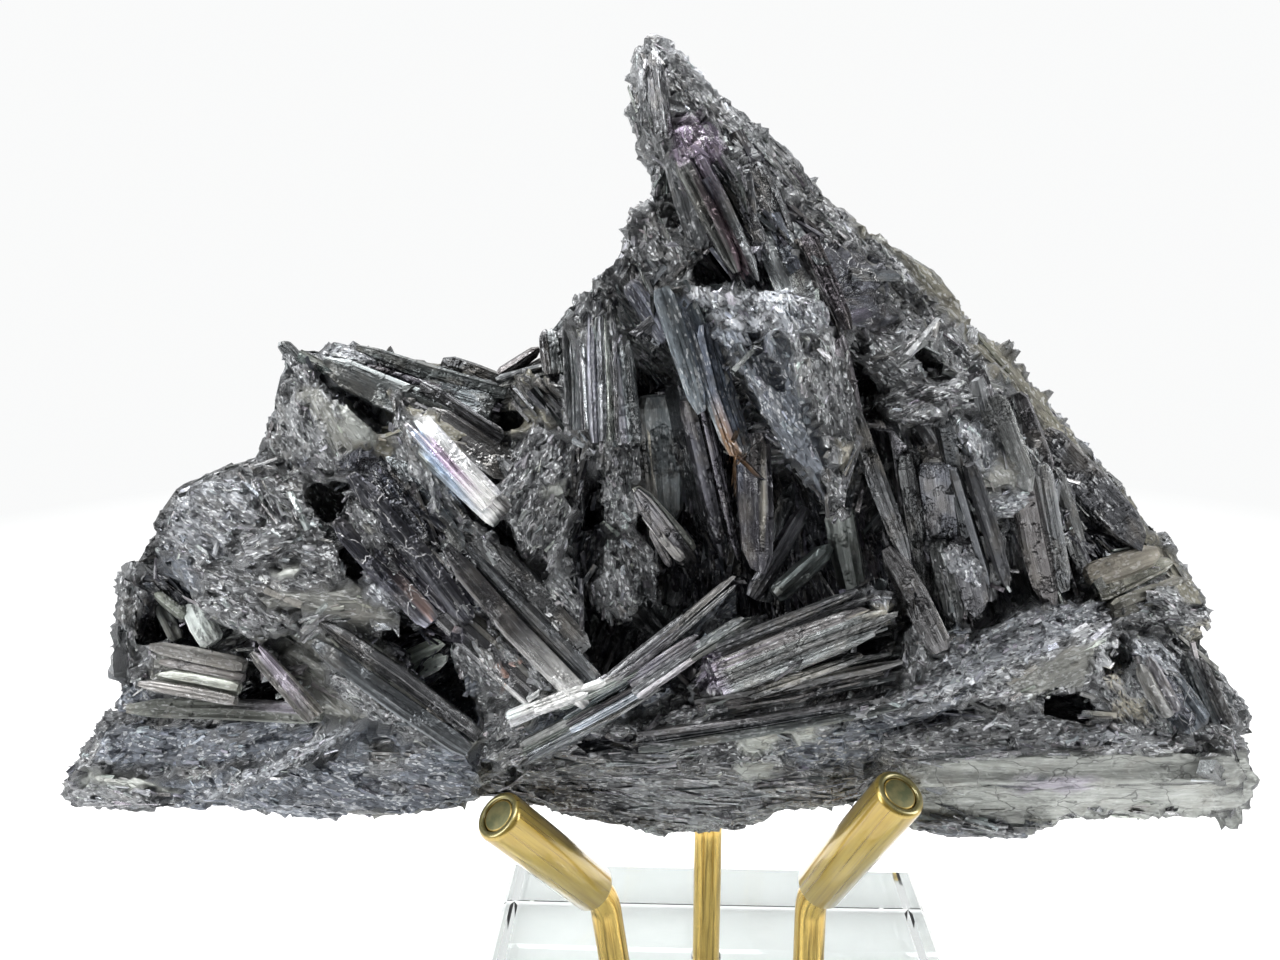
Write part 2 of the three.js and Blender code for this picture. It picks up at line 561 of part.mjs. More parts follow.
function block() {
  const { width, depth, height, chamfer } = BLOCK;
  const x = width / 2 - chamfer;
  const y = depth / 2 - chamfer;
  const plan = new THREE.Shape([
    new THREE.Vector2(-x, -y),
    new THREE.Vector2(x, -y),
    new THREE.Vector2(x, y),
    new THREE.Vector2(-x, y),
  ]);
  const slab = new THREE.ExtrudeGeometry(plan, {
    depth: height - 2 * chamfer,
    bevelThickness: chamfer,
    bevelSize: chamfer,
    bevelSegments: 1,
  }).translate(0, 0, chamfer);
  return geometryOf(solid(slab).subtract(join(Object.values(RODS).map(socket))));
}

// The stone, cleared of the rods and sleeves that it rests on

function stone() {
  const body = Object.values(BODY).map((corners) => hull(corners.map(seen)));
  const faces = Object.values(FACES).map(ledge);
  const crystals = Object.values(CRYSTALS).flat().flatMap(bundle);
  const berths = Object.values(RODS).map(berth);
  const cut = join([...body, ...faces, ...crystals]).subtract(join(berths));
  const pieces = cut.decompose().sort((a, b) => b.volume() - a.volume());
  return geometryOf(pieces[0]);
}

// The assembly

const stibnite = new THREE.MeshStandardMaterial({ color: 0x55585c, metalness: 0.9, roughness: 0.38 });
const acrylic = new THREE.MeshStandardMaterial({ color: 0xf2f5f3, metalness: 0, roughness: 0.05 });
const brass = new THREE.MeshStandardMaterial({ color: 0xa8842f, metalness: 1, roughness: 0.3 });
const vinyl = new THREE.MeshStandardMaterial({ color: 0xd9c790, metalness: 0, roughness: 0.15 });

const cluster = new THREE.Group();

function place(name, geometry, material) {
  const mesh = new THREE.Mesh(geometry, material);
  mesh.name = name;
  cluster.add(mesh);
}

place("stibnite_cluster", stone(), stibnite);
place("acrylic_block", block(), acrylic);
for (const [side, where] of Object.entries(RODS)) {
  place(`brass_rod_${side}`, rod(where), brass);
  place(`vinyl_sleeve_${side}`, sleeve(where), vinyl);
}

export default cluster;
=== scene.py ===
"""A stibnite crystal cluster on its stand: its finish, its fine crystals, the light and the camera.

Shapes are worked out in millimetres, as the part is, and become metres when a mesh is made. A
place on the stone is (across, down, depth): the point of the 1280 x 960 view at which it is seen,
and its Y in millimetres. An angle on the stone is in degrees of that view, clockwise from right.
"""

import math

import bmesh
import bpy
import numpy as np
from mathutils import Matrix, Vector
from mathutils.bvhtree import BVHTree


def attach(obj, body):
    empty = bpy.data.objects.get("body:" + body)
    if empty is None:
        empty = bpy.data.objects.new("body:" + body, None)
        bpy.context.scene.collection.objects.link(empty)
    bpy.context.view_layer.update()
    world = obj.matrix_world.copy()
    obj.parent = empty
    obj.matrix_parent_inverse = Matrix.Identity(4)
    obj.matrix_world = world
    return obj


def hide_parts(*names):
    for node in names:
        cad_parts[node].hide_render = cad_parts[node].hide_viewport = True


MM = 0.001

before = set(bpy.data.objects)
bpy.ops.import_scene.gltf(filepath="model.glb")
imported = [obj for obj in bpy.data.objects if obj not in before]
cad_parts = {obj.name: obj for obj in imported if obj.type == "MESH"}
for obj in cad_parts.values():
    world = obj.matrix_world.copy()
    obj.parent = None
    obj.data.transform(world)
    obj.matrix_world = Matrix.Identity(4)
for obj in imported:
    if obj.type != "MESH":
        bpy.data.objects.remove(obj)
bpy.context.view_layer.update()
random = np.random.default_rng(1847)


# The view

EYE = np.array([-8.2, -138.6, 144.8])
VIEW = {"across": 640, "down": 480, "focal": 1000, "horizon": 227, "vanishing": 674}
PITCH = math.atan((VIEW["down"] - VIEW["horizon"]) / VIEW["focal"])
YAW = math.atan((VIEW["vanishing"] - VIEW["across"]) / VIEW["focal"])
FORWARD = np.array(
    [-math.sin(YAW) * math.cos(PITCH), math.cos(YAW) * math.cos(PITCH), -math.sin(PITCH)]
)
RIGHT = np.array([math.cos(YAW), math.sin(YAW), 0.0])
UP = np.cross(RIGHT, FORWARD)


def rays(across, down):
    """Directions of sight through points of the view."""
    across = np.asarray(across, float)[..., None]
    down = np.asarray(down, float)[..., None]
    return (
        FORWARD
        + (across - VIEW["across"]) / VIEW["focal"] * RIGHT
        + (VIEW["down"] - down) / VIEW["focal"] * UP
    )


def seen(across, down, depth):
    """The points at those depths on the lines of sight through points of the view."""
    sight = rays(across, down)
    reach = (np.asarray(depth, float) - EYE[1]) / sight[..., 1]
    return EYE + sight * reach[..., None]


def picture(points):
    """Where points of space are seen: (across, down)."""
    offset = points - EYE
    distance = offset @ FORWARD
    across = VIEW["across"] + VIEW["focal"] * (offset @ RIGHT) / distance
    down = VIEW["down"] - VIEW["focal"] * (offset @ UP) / distance
    return np.stack([across, down], axis=-1)


# Arithmetic on arrays of vectors


def unit(vectors):
    return vectors / np.maximum(np.linalg.norm(vectors, axis=-1, keepdims=True), 1e-9)


def turned(vectors, axes, angles):
    """Vectors turned about unit axes by angles in radians."""
    cos = np.cos(angles)[..., None]
    sin = np.sin(angles)[..., None]
    along = np.sum(vectors * axes, axis=-1, keepdims=True)
    return vectors * cos + np.cross(axes, vectors) * sin + axes * along * (1 - cos)


def scrambled(cells, seed):
    """Three repeatable random numbers from 0 to 1 for each whole-numbered cell."""
    x, y, z = (cells[..., i].astype(np.int64) for i in range(3))
    mixed = (x * 73856093) ^ (y * 19349663) ^ (z * 83492791) ^ (seed * 2654435761)
    numbers = []
    for step in range(3):
        mixed = (mixed ^ (mixed >> 13)) * 1274126177 + step * 668265263
        mixed &= 0x7FFFFFFF
        numbers.append((mixed >> 7) % 65536 / 65535)
    return np.stack(numbers, axis=-1)


def smooth_noise(points, seed):
    """Noise from -1 to 1 that changes over about one unit."""
    base = np.floor(points)
    part = points - base
    ease = part * part * (3 - 2 * part)
    total = np.zeros(len(points))
    for corner in np.ndindex(2, 2, 2):
        corner = np.array(corner)
        weight = np.prod(np.where(corner == 1, ease, 1 - ease), axis=-1)
        total += weight * scrambled(base + corner, seed)[:, 0]
    return 2 * total - 1


def shard_noise(points, seed):
    """Flat, tilted facets about one unit across, with steps between them."""
    base = np.floor(points)
    nearest = np.full(len(points), np.inf)
    height = np.zeros(len(points))
    for step in np.ndindex(3, 3, 3):
        cell = base + np.array(step) - 1
        chance = scrambled(cell, seed)
        offset = points - cell - chance
        distance = np.sum(offset * offset, axis=-1)
        tilt = scrambled(cell, seed + 71) - 0.5
        closer = distance < nearest
        facet = tilt[:, 0] + 1.6 * np.sum(offset * tilt, axis=-1)
        height = np.where(closer, facet, height)
        nearest = np.minimum(nearest, distance)
    return height


def inside(points, outline):
    """Which points of the view are inside a closed outline."""
    x, y = points[:, 0], points[:, 1]
    corners = np.array(outline, float)
    found = np.zeros(len(points), bool)
    for (x0, y0), (x1, y1) in zip(corners, np.roll(corners, -1, axis=0)):
        if y0 == y1:
            continue
        crosses = (y0 > y) != (y1 > y)
        found ^= crosses & (x < (x1 - x0) * (y - y0) / (y1 - y0) + x0)
    return found


# How the stone's surface looks: each finish has its colour, how metallic and how rough it is, how
# far it is broken up (crumb from 0 to 1, relief in mm), its cracks (light above 0, dark below), and
# the small crystals on it: how many to the square centimetre, their length and width in mm, how
# far they stray from the grain and how far they stand up, in degrees.

FIELDS = (
    "tint", "metal", "rough", "crumb", "relief", "crack", "crowd", "length", "width", "stray",
    "lift")
FINISHES = {
    "granular": ((0.37, 0.38, 0.39), 0.88, 0.34, 1.0, 1.0, 0.0, 26, 1.0, 0.45, 26, 10),
    # The next finish is granular with its crumbs standing up more, painted lighter where faces look
    # up and left towards the light: painted light.
    "frosted": ((0.48, 0.50, 0.53), 0.88, 0.36, 1.0, 0.8, 0.0, 30, 0.9, 0.45, 34, 12),
    "fibrous": ((0.31, 0.32, 0.33), 0.92, 0.30, 0.5, 0.8, 0.0, 34, 2.8, 0.45, 9, 4),
    "bluish": ((0.27, 0.295, 0.335), 0.86, 0.40, 0.7, 0.7, 0.0, 14, 1.2, 0.50, 15, 5),
    "bladed": ((0.13, 0.135, 0.14), 0.95, 0.24, 0.15, 0.7, 0.0, 12, 4.0, 1.00, 7, 3),
    "smooth": ((0.13, 0.135, 0.155), 0.96, 0.20, 0.05, 0.25, 0.6, 1, 3.0, 0.80, 8, 2),
    "platy": ((0.29, 0.295, 0.275), 0.74, 0.46, 0.3, 0.4, 0.2, 4, 2.4, 0.70, 10, 2),
    # A lighter, less metallic grey. On the slab it is partly the slab's own tone and partly a
    # painted reflection of the pale floor below.
    "pale": ((0.50, 0.52, 0.49), 0.70, 0.42, 0.15, 0.2, -0.6, 1, 3.0, 0.60, 5, 1),
    "rind": ((0.27, 0.26, 0.21), 0.40, 0.58, 0.4, 0.5, 0.0, 4, 3.0, 0.60, 8, 2),
    "ribbed": ((0.17, 0.175, 0.175), 0.92, 0.30, 0.3, 0.7, 0.0, 12, 3.0, 0.60, 7, 3),
    "olive": ((0.15, 0.15, 0.125), 0.80, 0.38, 0.25, 0.5, 0.0, 8, 3.0, 0.80, 8, 3),
    # A near-white, half-metallic finish: a painted highlight on the bright cleavage plate and
    # streak.
    "white": ((0.80, 0.82, 0.83), 0.55, 0.30, 0.1, 0.2, -0.3, 0, 3.0, 0.80, 5, 2),
    # A near-black finish: painted shade in the stone's hollows, gaps and slits.
    "hollow": ((0.05, 0.052, 0.06), 0.95, 0.28, 0.3, 0.9, 0.0, 34, 4.0, 0.80, 12, 6),
}
NAMES = list(FINISHES)
LOOKS = {field: np.array([row[i] for row in FINISHES.values()]) for i, field in enumerate(FIELDS)}

# Parts of the front, each with its finish, the angle of its grain, how far it stands proud of the
# solid in mm, and its outline in the view. A later one lies over an earlier one. Those with the
# hollow finish are painted shade in recesses.

PATCHES = {
    "slope": ("granular", 44, 0, [
        (655, 40), (707, 78), (762, 124), (830, 197), (880, 246), (985, 345), (1012, 400),
        (900, 330), (840, 262), (780, 222), (735, 165), (676, 96)]),
    "slope fibres": ("fibrous", 47, 0.5, [
        (752, 138), (768, 134), (806, 176), (812, 196), (776, 176)]),
    "slope foot": ("granular", 30, 0.6, [
        (770, 205), (800, 200), (846, 232), (852, 262), (812, 252)]),
    "peak ridge": ("fibrous", 76, 0.6, [
        (648, 38), (664, 42), (673, 56), (671, 90), (664, 121), (636, 116), (631, 98), (638, 54)]),
    "peak side": ("granular", 60, 0.3, [
        (636, 118), (664, 122), (666, 156), (650, 162), (640, 140)]),
    "peak neck": ("fibrous", 88, 0.4, [(655, 155), (672, 152), (676, 205), (660, 208), (652, 186)]),
    "peak shell": ("smooth", 60, 0.8, [
        (671, 123), (699, 112), (715, 116), (729, 144), (715, 160), (692, 158), (671, 153)]),
    "peak hollow": ("hollow", 66, 0, [(684, 160), (770, 160), (800, 250), (770, 290), (716, 270)]),
    "peak plate": ("bladed", 74, 0.4, [(719, 158), (742, 155), (756, 204), (750, 217), (738, 206)]),
    "peak pit": ("hollow", 60, 0, [(772, 214), (800, 206), (818, 250), (800, 262), (776, 240)]),
    "knob": ("granular", 60, 0.5, [
        (637, 211), (655, 204), (669, 211), (673, 238), (703, 261), (660, 284), (620, 263),
        (623, 240)]),
    "knob fibres": ("fibrous", 72, 0.4, [
        (625, 266), (642, 266), (662, 318), (648, 324), (634, 300)]),
    "collar": ("frosted", 55, 0.6, [
        (684, 284), (716, 292), (740, 284), (790, 286), (836, 300), (842, 330), (790, 344),
        (736, 340), (700, 318)]),
    "dagger left": ("bluish", 62, 0.3, [
        (704, 326), (786, 338), (806, 400), (845, 512), (836, 516), (790, 470), (742, 384)]),
    "dagger right": ("granular", 74, 0.5, [
        (786, 336), (842, 326), (858, 400), (850, 470), (846, 510), (806, 410)]),
    "dagger tip": ("granular", 60, 0, [(818, 470), (850, 466), (852, 520), (836, 518)]),
    "blue plate": ("platy", 66, 0.7, [
        (660, 292), (684, 288), (704, 322), (728, 370), (744, 460), (722, 440), (690, 370)]),
    "centre hollow": ("hollow", 80, 0, [
        (630, 384), (700, 400), (746, 466), (800, 480), (856, 520), (900, 560), (930, 640),
        (860, 640), (760, 620), (690, 600), (660, 560), (640, 500)]),
    "centre left": ("granular", 96, 0.4, [
        (560, 312), (594, 284), (618, 300), (628, 360), (610, 380), (576, 370)]),
    "centre column": ("fibrous", 94, 0.7, [
        (586, 330), (610, 320), (624, 380), (622, 440), (600, 440), (586, 400)]),
    "column foot": ("granular", 76, 0.4, [
        (544, 372), (586, 386), (600, 440), (590, 456), (548, 420)]),
    "small block": ("bladed", 38, 0.5, [
        (500, 384), (528, 366), (569, 396), (554, 412), (520, 412)]),
    "crown": ("bladed", 26, 0, [
        (283, 341), (345, 340), (440, 358), (500, 380), (510, 446), (466, 434), (396, 392),
        (320, 372)]),
    "crown crust": ("frosted", 24, 0.3, [
        (318, 352), (345, 341), (372, 352), (384, 376), (346, 376)]),
    "crest block": ("granular", 57, 0.4, [
        (278, 346), (300, 354), (337, 404), (357, 452), (345, 482), (300, 488), (262, 440),
        (276, 400)]),
    "crest ribs": ("platy", 57, 0.5, [(296, 390), (318, 382), (356, 446), (352, 460), (330, 446)]),
    "crest facet": ("smooth", 20, 0.4, [(292, 462), (310, 458), (314, 474), (296, 478)]),
    "crest hollow": ("hollow", 42, 0, [
        (309, 362), (334, 384), (380, 412), (384, 430), (347, 400), (319, 381)]),
    "crest patch": ("pale", 52, 0.5, [
        (337, 401), (347, 400), (378, 432), (375, 442), (360, 451), (344, 427)]),
    "plate side": ("granular", 58, 0.3, [
        (388, 388), (403, 390), (413, 414), (423, 452), (444, 488), (480, 529), (467, 539),
        (439, 539), (408, 488), (393, 445)]),
    "crack plates": ("smooth", 56, 0, [
        (343, 456), (372, 448), (436, 512), (480, 590), (470, 628), (420, 612), (350, 566),
        (326, 500)]),
    "crack plate": ("smooth", 52, 0.7, [
        (360, 460), (380, 460), (418, 509), (450, 548), (444, 576), (413, 560), (352, 534),
        (339, 519), (352, 483)]),
    "crack gap": ("hollow", 55, 0, [(380, 456), (403, 464), (436, 524), (418, 516), (393, 478)]),
    "diagonal": ("granular", 50, 0, [
        (426, 540), (484, 518), (596, 668), (572, 696), (500, 692), (440, 604)]),
    "diagonal slab": ("smooth", 49, 0.6, [
        (392, 542), (426, 548), (470, 616), (500, 668), (494, 694), (440, 632)]),
    "middle knob": ("granular", 108, 0.4, [
        (500, 446), (540, 424), (578, 436), (590, 470), (570, 520), (556, 585), (524, 560),
        (497, 500)]),
    "middle facet": ("pale", 100, 0.4, [(541, 484), (564, 482), (560, 498), (540, 500)]),
    "middle wedge": ("granular", 48, 0.4, [
        (522, 598), (572, 562), (584, 600), (580, 656), (556, 640)]),
    "middle gap": ("hollow", 100, 0, [
        (572, 468), (588, 466), (600, 520), (590, 600), (578, 612), (576, 540)]),
    "inner knob": ("granular", 74, 1.4, [
        (592, 550), (626, 520), (660, 556), (664, 604), (628, 626), (596, 600)]),
    "inner crag": ("granular", 90, 1.2, [
        (594, 440), (640, 436), (654, 500), (632, 532), (598, 524)]),
    "inner plates": ("platy", 62, 0.4, [
        (628, 484), (640, 484), (688, 540), (684, 552), (650, 530)]),
    "heap": ("granular", 22, 0, [
        (176, 486), (250, 460), (306, 484), (352, 560), (336, 604), (250, 632), (196, 606),
        (146, 550)]),
    "heap top": ("frosted", 30, 0.8, [
        (184, 486), (245, 472), (257, 520), (230, 566), (180, 560), (156, 546), (172, 510)]),
    "heap blue": ("bluish", 40, 0.5, [(156, 556), (190, 560), (206, 592), (190, 602), (160, 580)]),
    "heap grooves": ("fibrous", 62, 0.3, [
        (246, 484), (268, 478), (300, 516), (282, 528), (252, 508)]),
    "heap wedge": ("granular", -14, 1.0, [
        (234, 528), (298, 524), (304, 540), (263, 568), (228, 563)]),
    "heap facet": ("pale", 4, 0.5, [(273, 569), (301, 565), (298, 578), (278, 582)]),
    "heap edge": ("granular", 50, 0, [
        (300, 470), (350, 470), (400, 560), (420, 610), (360, 592), (306, 500)]),
    "heap lump": ("frosted", 40, 0.7, [(360, 570), (392, 566), (418, 600), (404, 612), (370, 600)]),
    "heap tongue": ("platy", 10, 0.8, [
        (257, 594), (300, 592), (351, 583), (386, 608), (407, 628), (363, 628), (304, 616),
        (263, 606)]),
    "heap skirt": ("granular", 26, 0.4, [
        (184, 594), (256, 600), (300, 620), (296, 640), (240, 636), (200, 616)]),
    "heap hollow": ("hollow", 62, 0, [
        (122, 572), (160, 566), (204, 612), (196, 648), (146, 640), (114, 650)]),
    "rim": ("granular", 100, 0.2, [
        (114, 580), (130, 560), (150, 564), (140, 610), (132, 690), (114, 700)]),
    "fan rim": ("granular", -40, 0.5, [
        (136, 660), (160, 642), (186, 636), (192, 648), (160, 660), (144, 690)]),
    "fan": ("platy", 12, 0.4, [
        (151, 654), (176, 650), (240, 652), (258, 680), (214, 690), (150, 686)]),
    "fan crust": ("frosted", 20, 0.4, [(214, 652), (238, 652), (242, 670), (218, 674)]),
    "lens blade": ("platy", 2, 0.6, [
        (116, 711), (150, 703), (190, 702), (313, 714), (298, 720), (187, 717)]),
    "tongue": ("platy", 44, 0, [
        (256, 640), (330, 630), (404, 652), (480, 742), (430, 752), (396, 734), (328, 716),
        (296, 690)]),
    "tongue facet": ("platy", 30, 0.7, [
        (280, 646), (304, 648), (330, 675), (327, 692), (304, 684), (284, 664)]),
    "tongue ridge": ("granular", 40, 1.0, [
        (322, 650), (350, 668), (392, 704), (444, 746), (420, 750), (363, 716), (328, 684)]),
    "tongue slope": ("platy", 43, 0.8, [
        (357, 646), (380, 652), (420, 690), (457, 728), (480, 746), (464, 756), (400, 708),
        (362, 670)]),
    "nook": ("hollow", -28, 0, [(384, 640), (430, 614), (458, 640), (450, 684), (424, 688)]),
    "nook edge": ("granular", 50, 1.2, [
        (448, 650), (470, 632), (520, 688), (500, 720), (464, 700)]),
    "wing top": ("granular", -12, 0, [
        (100, 716), (118, 702), (250, 712), (334, 716), (300, 752), (200, 778), (70, 782)]),
    "wing band": ("bluish", -10, 0.7, [
        (112, 722), (180, 726), (250, 722), (330, 724), (300, 748), (226, 764), (150, 768),
        (92, 760)]),
    "wing tip": ("pale", 13, 0.8, [(81, 771), (137, 776), (178, 792), (128, 793), (84, 784)]),
    "wing foot": ("fibrous", 6, 0.3, [(62, 790), (84, 785), (166, 794), (214, 808), (76, 808)]),
    "wing keel": ("frosted", -24, 1.2, [
        (196, 796), (250, 768), (300, 744), (340, 724), (372, 718), (330, 750), (280, 776),
        (230, 800)]),
    "wing hump": ("bluish", 8, 0.9, [
        (322, 764), (350, 744), (380, 734), (430, 742), (465, 752), (490, 786), (462, 808),
        (392, 818), (275, 806)]),
    "wing lines": ("fibrous", -8, 0.5, [(366, 742), (386, 738), (400, 770), (372, 776)]),
    "bottom": ("granular", -10, 0, [
        (476, 690), (700, 696), (760, 716), (905, 726), (900, 770), (700, 792), (480, 776)]),
    "bottom left": ("granular", -30, 0.5, [
        (484, 700), (520, 712), (536, 752), (500, 778), (480, 756)]),
    "bottom ribs": ("fibrous", -6, 0.8, [
        (540, 756), (640, 744), (700, 752), (690, 770), (590, 776)]),
    "bottom knob": ("granular", -20, 0.7, [
        (630, 722), (690, 700), (728, 704), (724, 740), (660, 744)]),
    "bottom slit": ("hollow", -4, 0, [(576, 738), (632, 733), (634, 744), (590, 750)]),
    "bottom layers": ("fibrous", 3, 0, [
        (480, 768), (640, 776), (780, 776), (900, 766), (870, 804), (744, 814), (690, 836),
        (560, 812), (480, 804)]),
    "bottom keel": ("fibrous", 4, 0.5, [
        (560, 796), (700, 788), (770, 796), (740, 820), (690, 832), (600, 816)]),
    "bottom shelf": ("fibrous", -4, 0.6, [
        (720, 780), (840, 768), (880, 776), (850, 800), (760, 804)]),
    "bottom blue": ("bluish", -15, 0.8, [
        (777, 744), (850, 724), (917, 712), (910, 740), (860, 764), (790, 768)]),
    "bottom frost": ("pale", -12, 0.5, [
        (736, 734), (777, 720), (789, 732), (771, 750), (748, 758)]),
    "bottom chip": ("pale", -20, 0.5, [(792, 730), (816, 724), (820, 738), (797, 746)]),
    "bottom pan": ("pale", -8, 0.3, [(730, 764), (778, 760), (772, 778), (744, 780)]),
    "swoosh": ("bluish", -32, 0, [
        (506, 706), (612, 676), (690, 610), (748, 570), (730, 640), (660, 700), (540, 756)]),
    # Painted highlight: a pale streak where the light catches the stone.
    "painted highlight streak": ("pale", -26, 1.0, [
        (509, 716), (562, 689), (611, 676), (612, 683), (572, 696), (556, 714), (526, 725)]),
    "bundle bed": ("bladed", -20, 0, [(690, 650), (896, 590), (936, 660), (760, 716), (694, 700)]),
    "lens cap": ("granular", 72, 1.4, [
        (697, 652), (709, 643), (725, 646), (731, 664), (734, 692), (712, 701), (700, 695)]),
    "bundle end": ("frosted", 60, 0.6, [(866, 592), (892, 592), (894, 620), (876, 626)]),
    "ledge": ("granular", -6, 0, [
        (880, 736), (1000, 700), (1120, 726), (1244, 712), (1270, 716), (1270, 766), (1236, 752),
        (1010, 758), (890, 776)]),
    "ledge rim": ("frosted", -6, 0.6, [
        (1020, 742), (1120, 724), (1234, 722), (1240, 736), (1130, 742), (1030, 752)]),
    "ledge ribs": ("fibrous", -5, 0.4, [
        (890, 756), (1000, 744), (1090, 748), (1090, 757), (910, 767)]),
    # Partly painted reflection: the slab is pale where it faces the floor.
    "slab": ("pale", 0, 0, [
        (896, 768), (1010, 757), (1236, 751), (1274, 768), (1272, 816), (1240, 836), (1122, 824),
        (1050, 832), (1013, 842), (905, 830)]),
    "slab root": ("fibrous", 4, 0.3, [
        (912, 814), (1038, 822), (1036, 832), (1011, 840), (920, 834)]),
    "ridge": ("granular", -20, 0, [
        (884, 664), (1107, 596), (1180, 574), (1218, 612), (1203, 634), (1060, 680), (930, 720)]),
    "ridge top": ("frosted", -20, 1.2, [
        (934, 650), (974, 630), (1054, 596), (1097, 597), (1111, 610), (1049, 652), (1001, 672),
        (953, 676)]),
    "ridge cap": ("bluish", -10, 1.0, [(934, 648), (939, 628), (974, 626), (969, 646)]),
    "ridge crust": ("frosted", -22, 1.3, [
        (840, 706), (900, 690), (953, 668), (1001, 660), (1008, 676), (940, 696), (850, 722)]),
    "ridge blue": ("bluish", -18, 0.7, [
        (840, 728), (942, 701), (1006, 684), (1001, 693), (953, 709), (894, 733), (842, 750)]),
    "ridge slit": ("hollow", -18, 0, [
        (899, 727), (947, 711), (1006, 693), (1001, 702), (947, 719), (904, 732)]),
    "column foot right": ("granular", 80, 0.9, [
        (903, 622), (928, 626), (934, 664), (920, 690), (898, 680)]),
    "ridge band": ("granular", -20, 1.0, [
        (990, 668), (1060, 640), (1112, 616), (1124, 640), (1100, 690), (1020, 704), (960, 716)]),
    "rib plate": ("platy", -20, 1.2, [
        (1011, 676), (1054, 656), (1097, 640), (1105, 647), (1092, 668), (1081, 686), (1022, 698),
        (1011, 690)]),
    "shoulder": ("granular", 22, 0.4, [
        (1124, 606), (1150, 592), (1191, 576), (1218, 614), (1210, 630), (1180, 628), (1124, 626)]),
    "heel": ("granular", 56, 0, [
        (1112, 650), (1196, 642), (1213, 684), (1246, 713), (1236, 744), (1108, 732)]),
    "heel top": ("granular", 56, 1.0, [
        (1098, 644), (1148, 632), (1160, 700), (1114, 716), (1092, 690)]),
    "heel frost": ("frosted", 48, 0.8, [
        (1120, 640), (1164, 634), (1196, 672), (1200, 690), (1170, 676), (1136, 664)]),
    "heel plate": ("smooth", 50, 0.7, [
        (1153, 680), (1167, 677), (1199, 711), (1202, 725), (1175, 725)]),
    "heel edge": ("platy", 62, 0.5, [
        (1188, 650), (1198, 648), (1216, 706), (1207, 714), (1194, 686)]),
    "rind": ("rind", 50, 0, [
        (873, 230), (905, 255), (950, 280), (980, 335), (1012, 350), (1104, 468), (1222, 612),
        (1190, 604), (1110, 512), (1040, 434), (985, 360), (940, 312)]),
    "rind knob": ("rind", 60, 0.5, [(852, 222), (866, 219), (876, 234), (866, 240)]),
    "rind gap": ("smooth", 50, 0, [
        (1036, 436), (1049, 435), (1084, 477), (1114, 534), (1129, 547), (1112, 547), (1076, 504),
        (1049, 467)]),
    "rind plate": ("platy", 50, 0.4, [
        (1076, 474), (1090, 484), (1150, 552), (1132, 550), (1108, 530)]),
    "rind hole": ("hollow", 40, 0, [(1072, 532), (1089, 525), (1118, 548), (1089, 562)]),
    "fans": ("bladed", 76, 0, [
        (870, 400), (1008, 396), (1048, 440), (1094, 600), (1010, 612), (940, 632), (896, 560)]),
    "fan roof": ("granular", -14, 0.7, [
        (872, 397), (910, 383), (969, 376), (1000, 396), (989, 404), (959, 412), (915, 426),
        (890, 415)]),
    "fan face": ("frosted", 72, 0.8, [(957, 424), (979, 417), (994, 447), (986, 482), (969, 469)]),
    "fan blob": ("platy", 30, 1.2, [
        (989, 455), (1009, 452), (1024, 474), (1024, 494), (999, 494), (979, 489)]),
    "fan brow": ("frosted", 10, 1.0, [
        (954, 490), (1029, 490), (1036, 510), (999, 520), (974, 514)]),
    "bright wedge": ("frosted", 84, 0.8, [
        (1049, 476), (1062, 478), (1067, 529), (1061, 566), (1054, 534)]),
    "wedge foot": ("frosted", 70, 0.6, [(1050, 570), (1066, 568), (1076, 596), (1060, 600)]),
    "lower knob": ("frosted", 60, 1.2, [
        (927, 549), (959, 543), (984, 566), (986, 584), (950, 578), (932, 576)]),
    "lens": ("smooth", -36, 0.5, [
        (820, 242), (853, 240), (892, 273), (894, 295), (860, 306), (830, 300), (818, 268)]),
    "lens low": ("smooth", -30, 0.7, [(830, 298), (880, 292), (902, 320), (868, 344), (842, 330)]),
    "lens edge": ("granular", 40, 0.9, [
        (838, 326), (904, 334), (930, 372), (880, 396), (850, 360)]),
    "lens fold": ("fibrous", -48, 0.6, [
        (890, 352), (914, 330), (950, 330), (940, 352), (906, 376)]),
}

# The rest of the stone is made of cells, each with its own finish and grain.

CELL_KINDS = ("granular", "fibrous", "bluish", "bladed", "platy", "smooth", "frosted", "rind")
CELL_SHARES = (0.26, 0.2, 0.14, 0.16, 0.09, 0.05, 0.05, 0.05)
CELL_COUNT = 70
LOWEST = np.array([-107.0, -24.0, 48.0])
HIGHEST = np.array([83.0, 32.0, 170.0])
CELL_PLACES = random.uniform(LOWEST, HIGHEST, (CELL_COUNT, 3))
CELL_NAMES = random.choice(CELL_KINDS, CELL_COUNT, p=CELL_SHARES)
CELL_FINISH = np.array([NAMES.index(kind) for kind in CELL_NAMES])
CELL_GRAIN = random.uniform(-90, 90, CELL_COUNT)
# How far the rims of cells and patches wander, and over what distance, in mm
RIM_SHIFT = 0.8
RIM_SPAN = 2.2


def looks_of(points, front):
    """The finish at each point of the stone, field by field, and its grain in radians."""
    shift = np.stack([smooth_noise(points / RIM_SPAN, seed) for seed in (11, 12, 13)], axis=-1)
    warped = points + RIM_SHIFT * shift
    distance = ((warped[:, None] - CELL_PLACES) ** 2).sum(axis=-1)
    cell = np.argmin(distance, axis=1)
    finish = CELL_FINISH[cell]
    grain = CELL_GRAIN[cell]
    spots = picture(warped)
    for name, angle, _, outline in PATCHES.values():
        chosen = inside(spots, outline) & front
        finish = np.where(chosen, NAMES.index(name), finish)
        grain = np.where(chosen, angle, grain)
    looks = {field: values[finish] for field, values in LOOKS.items()}
    looks["grain"] = np.radians(grain)
    return looks


def grain_along(angles):
    """The direction of the grain, in the plane of the view."""
    return np.cos(angles)[:, None] * RIGHT - np.sin(angles)[:, None] * UP


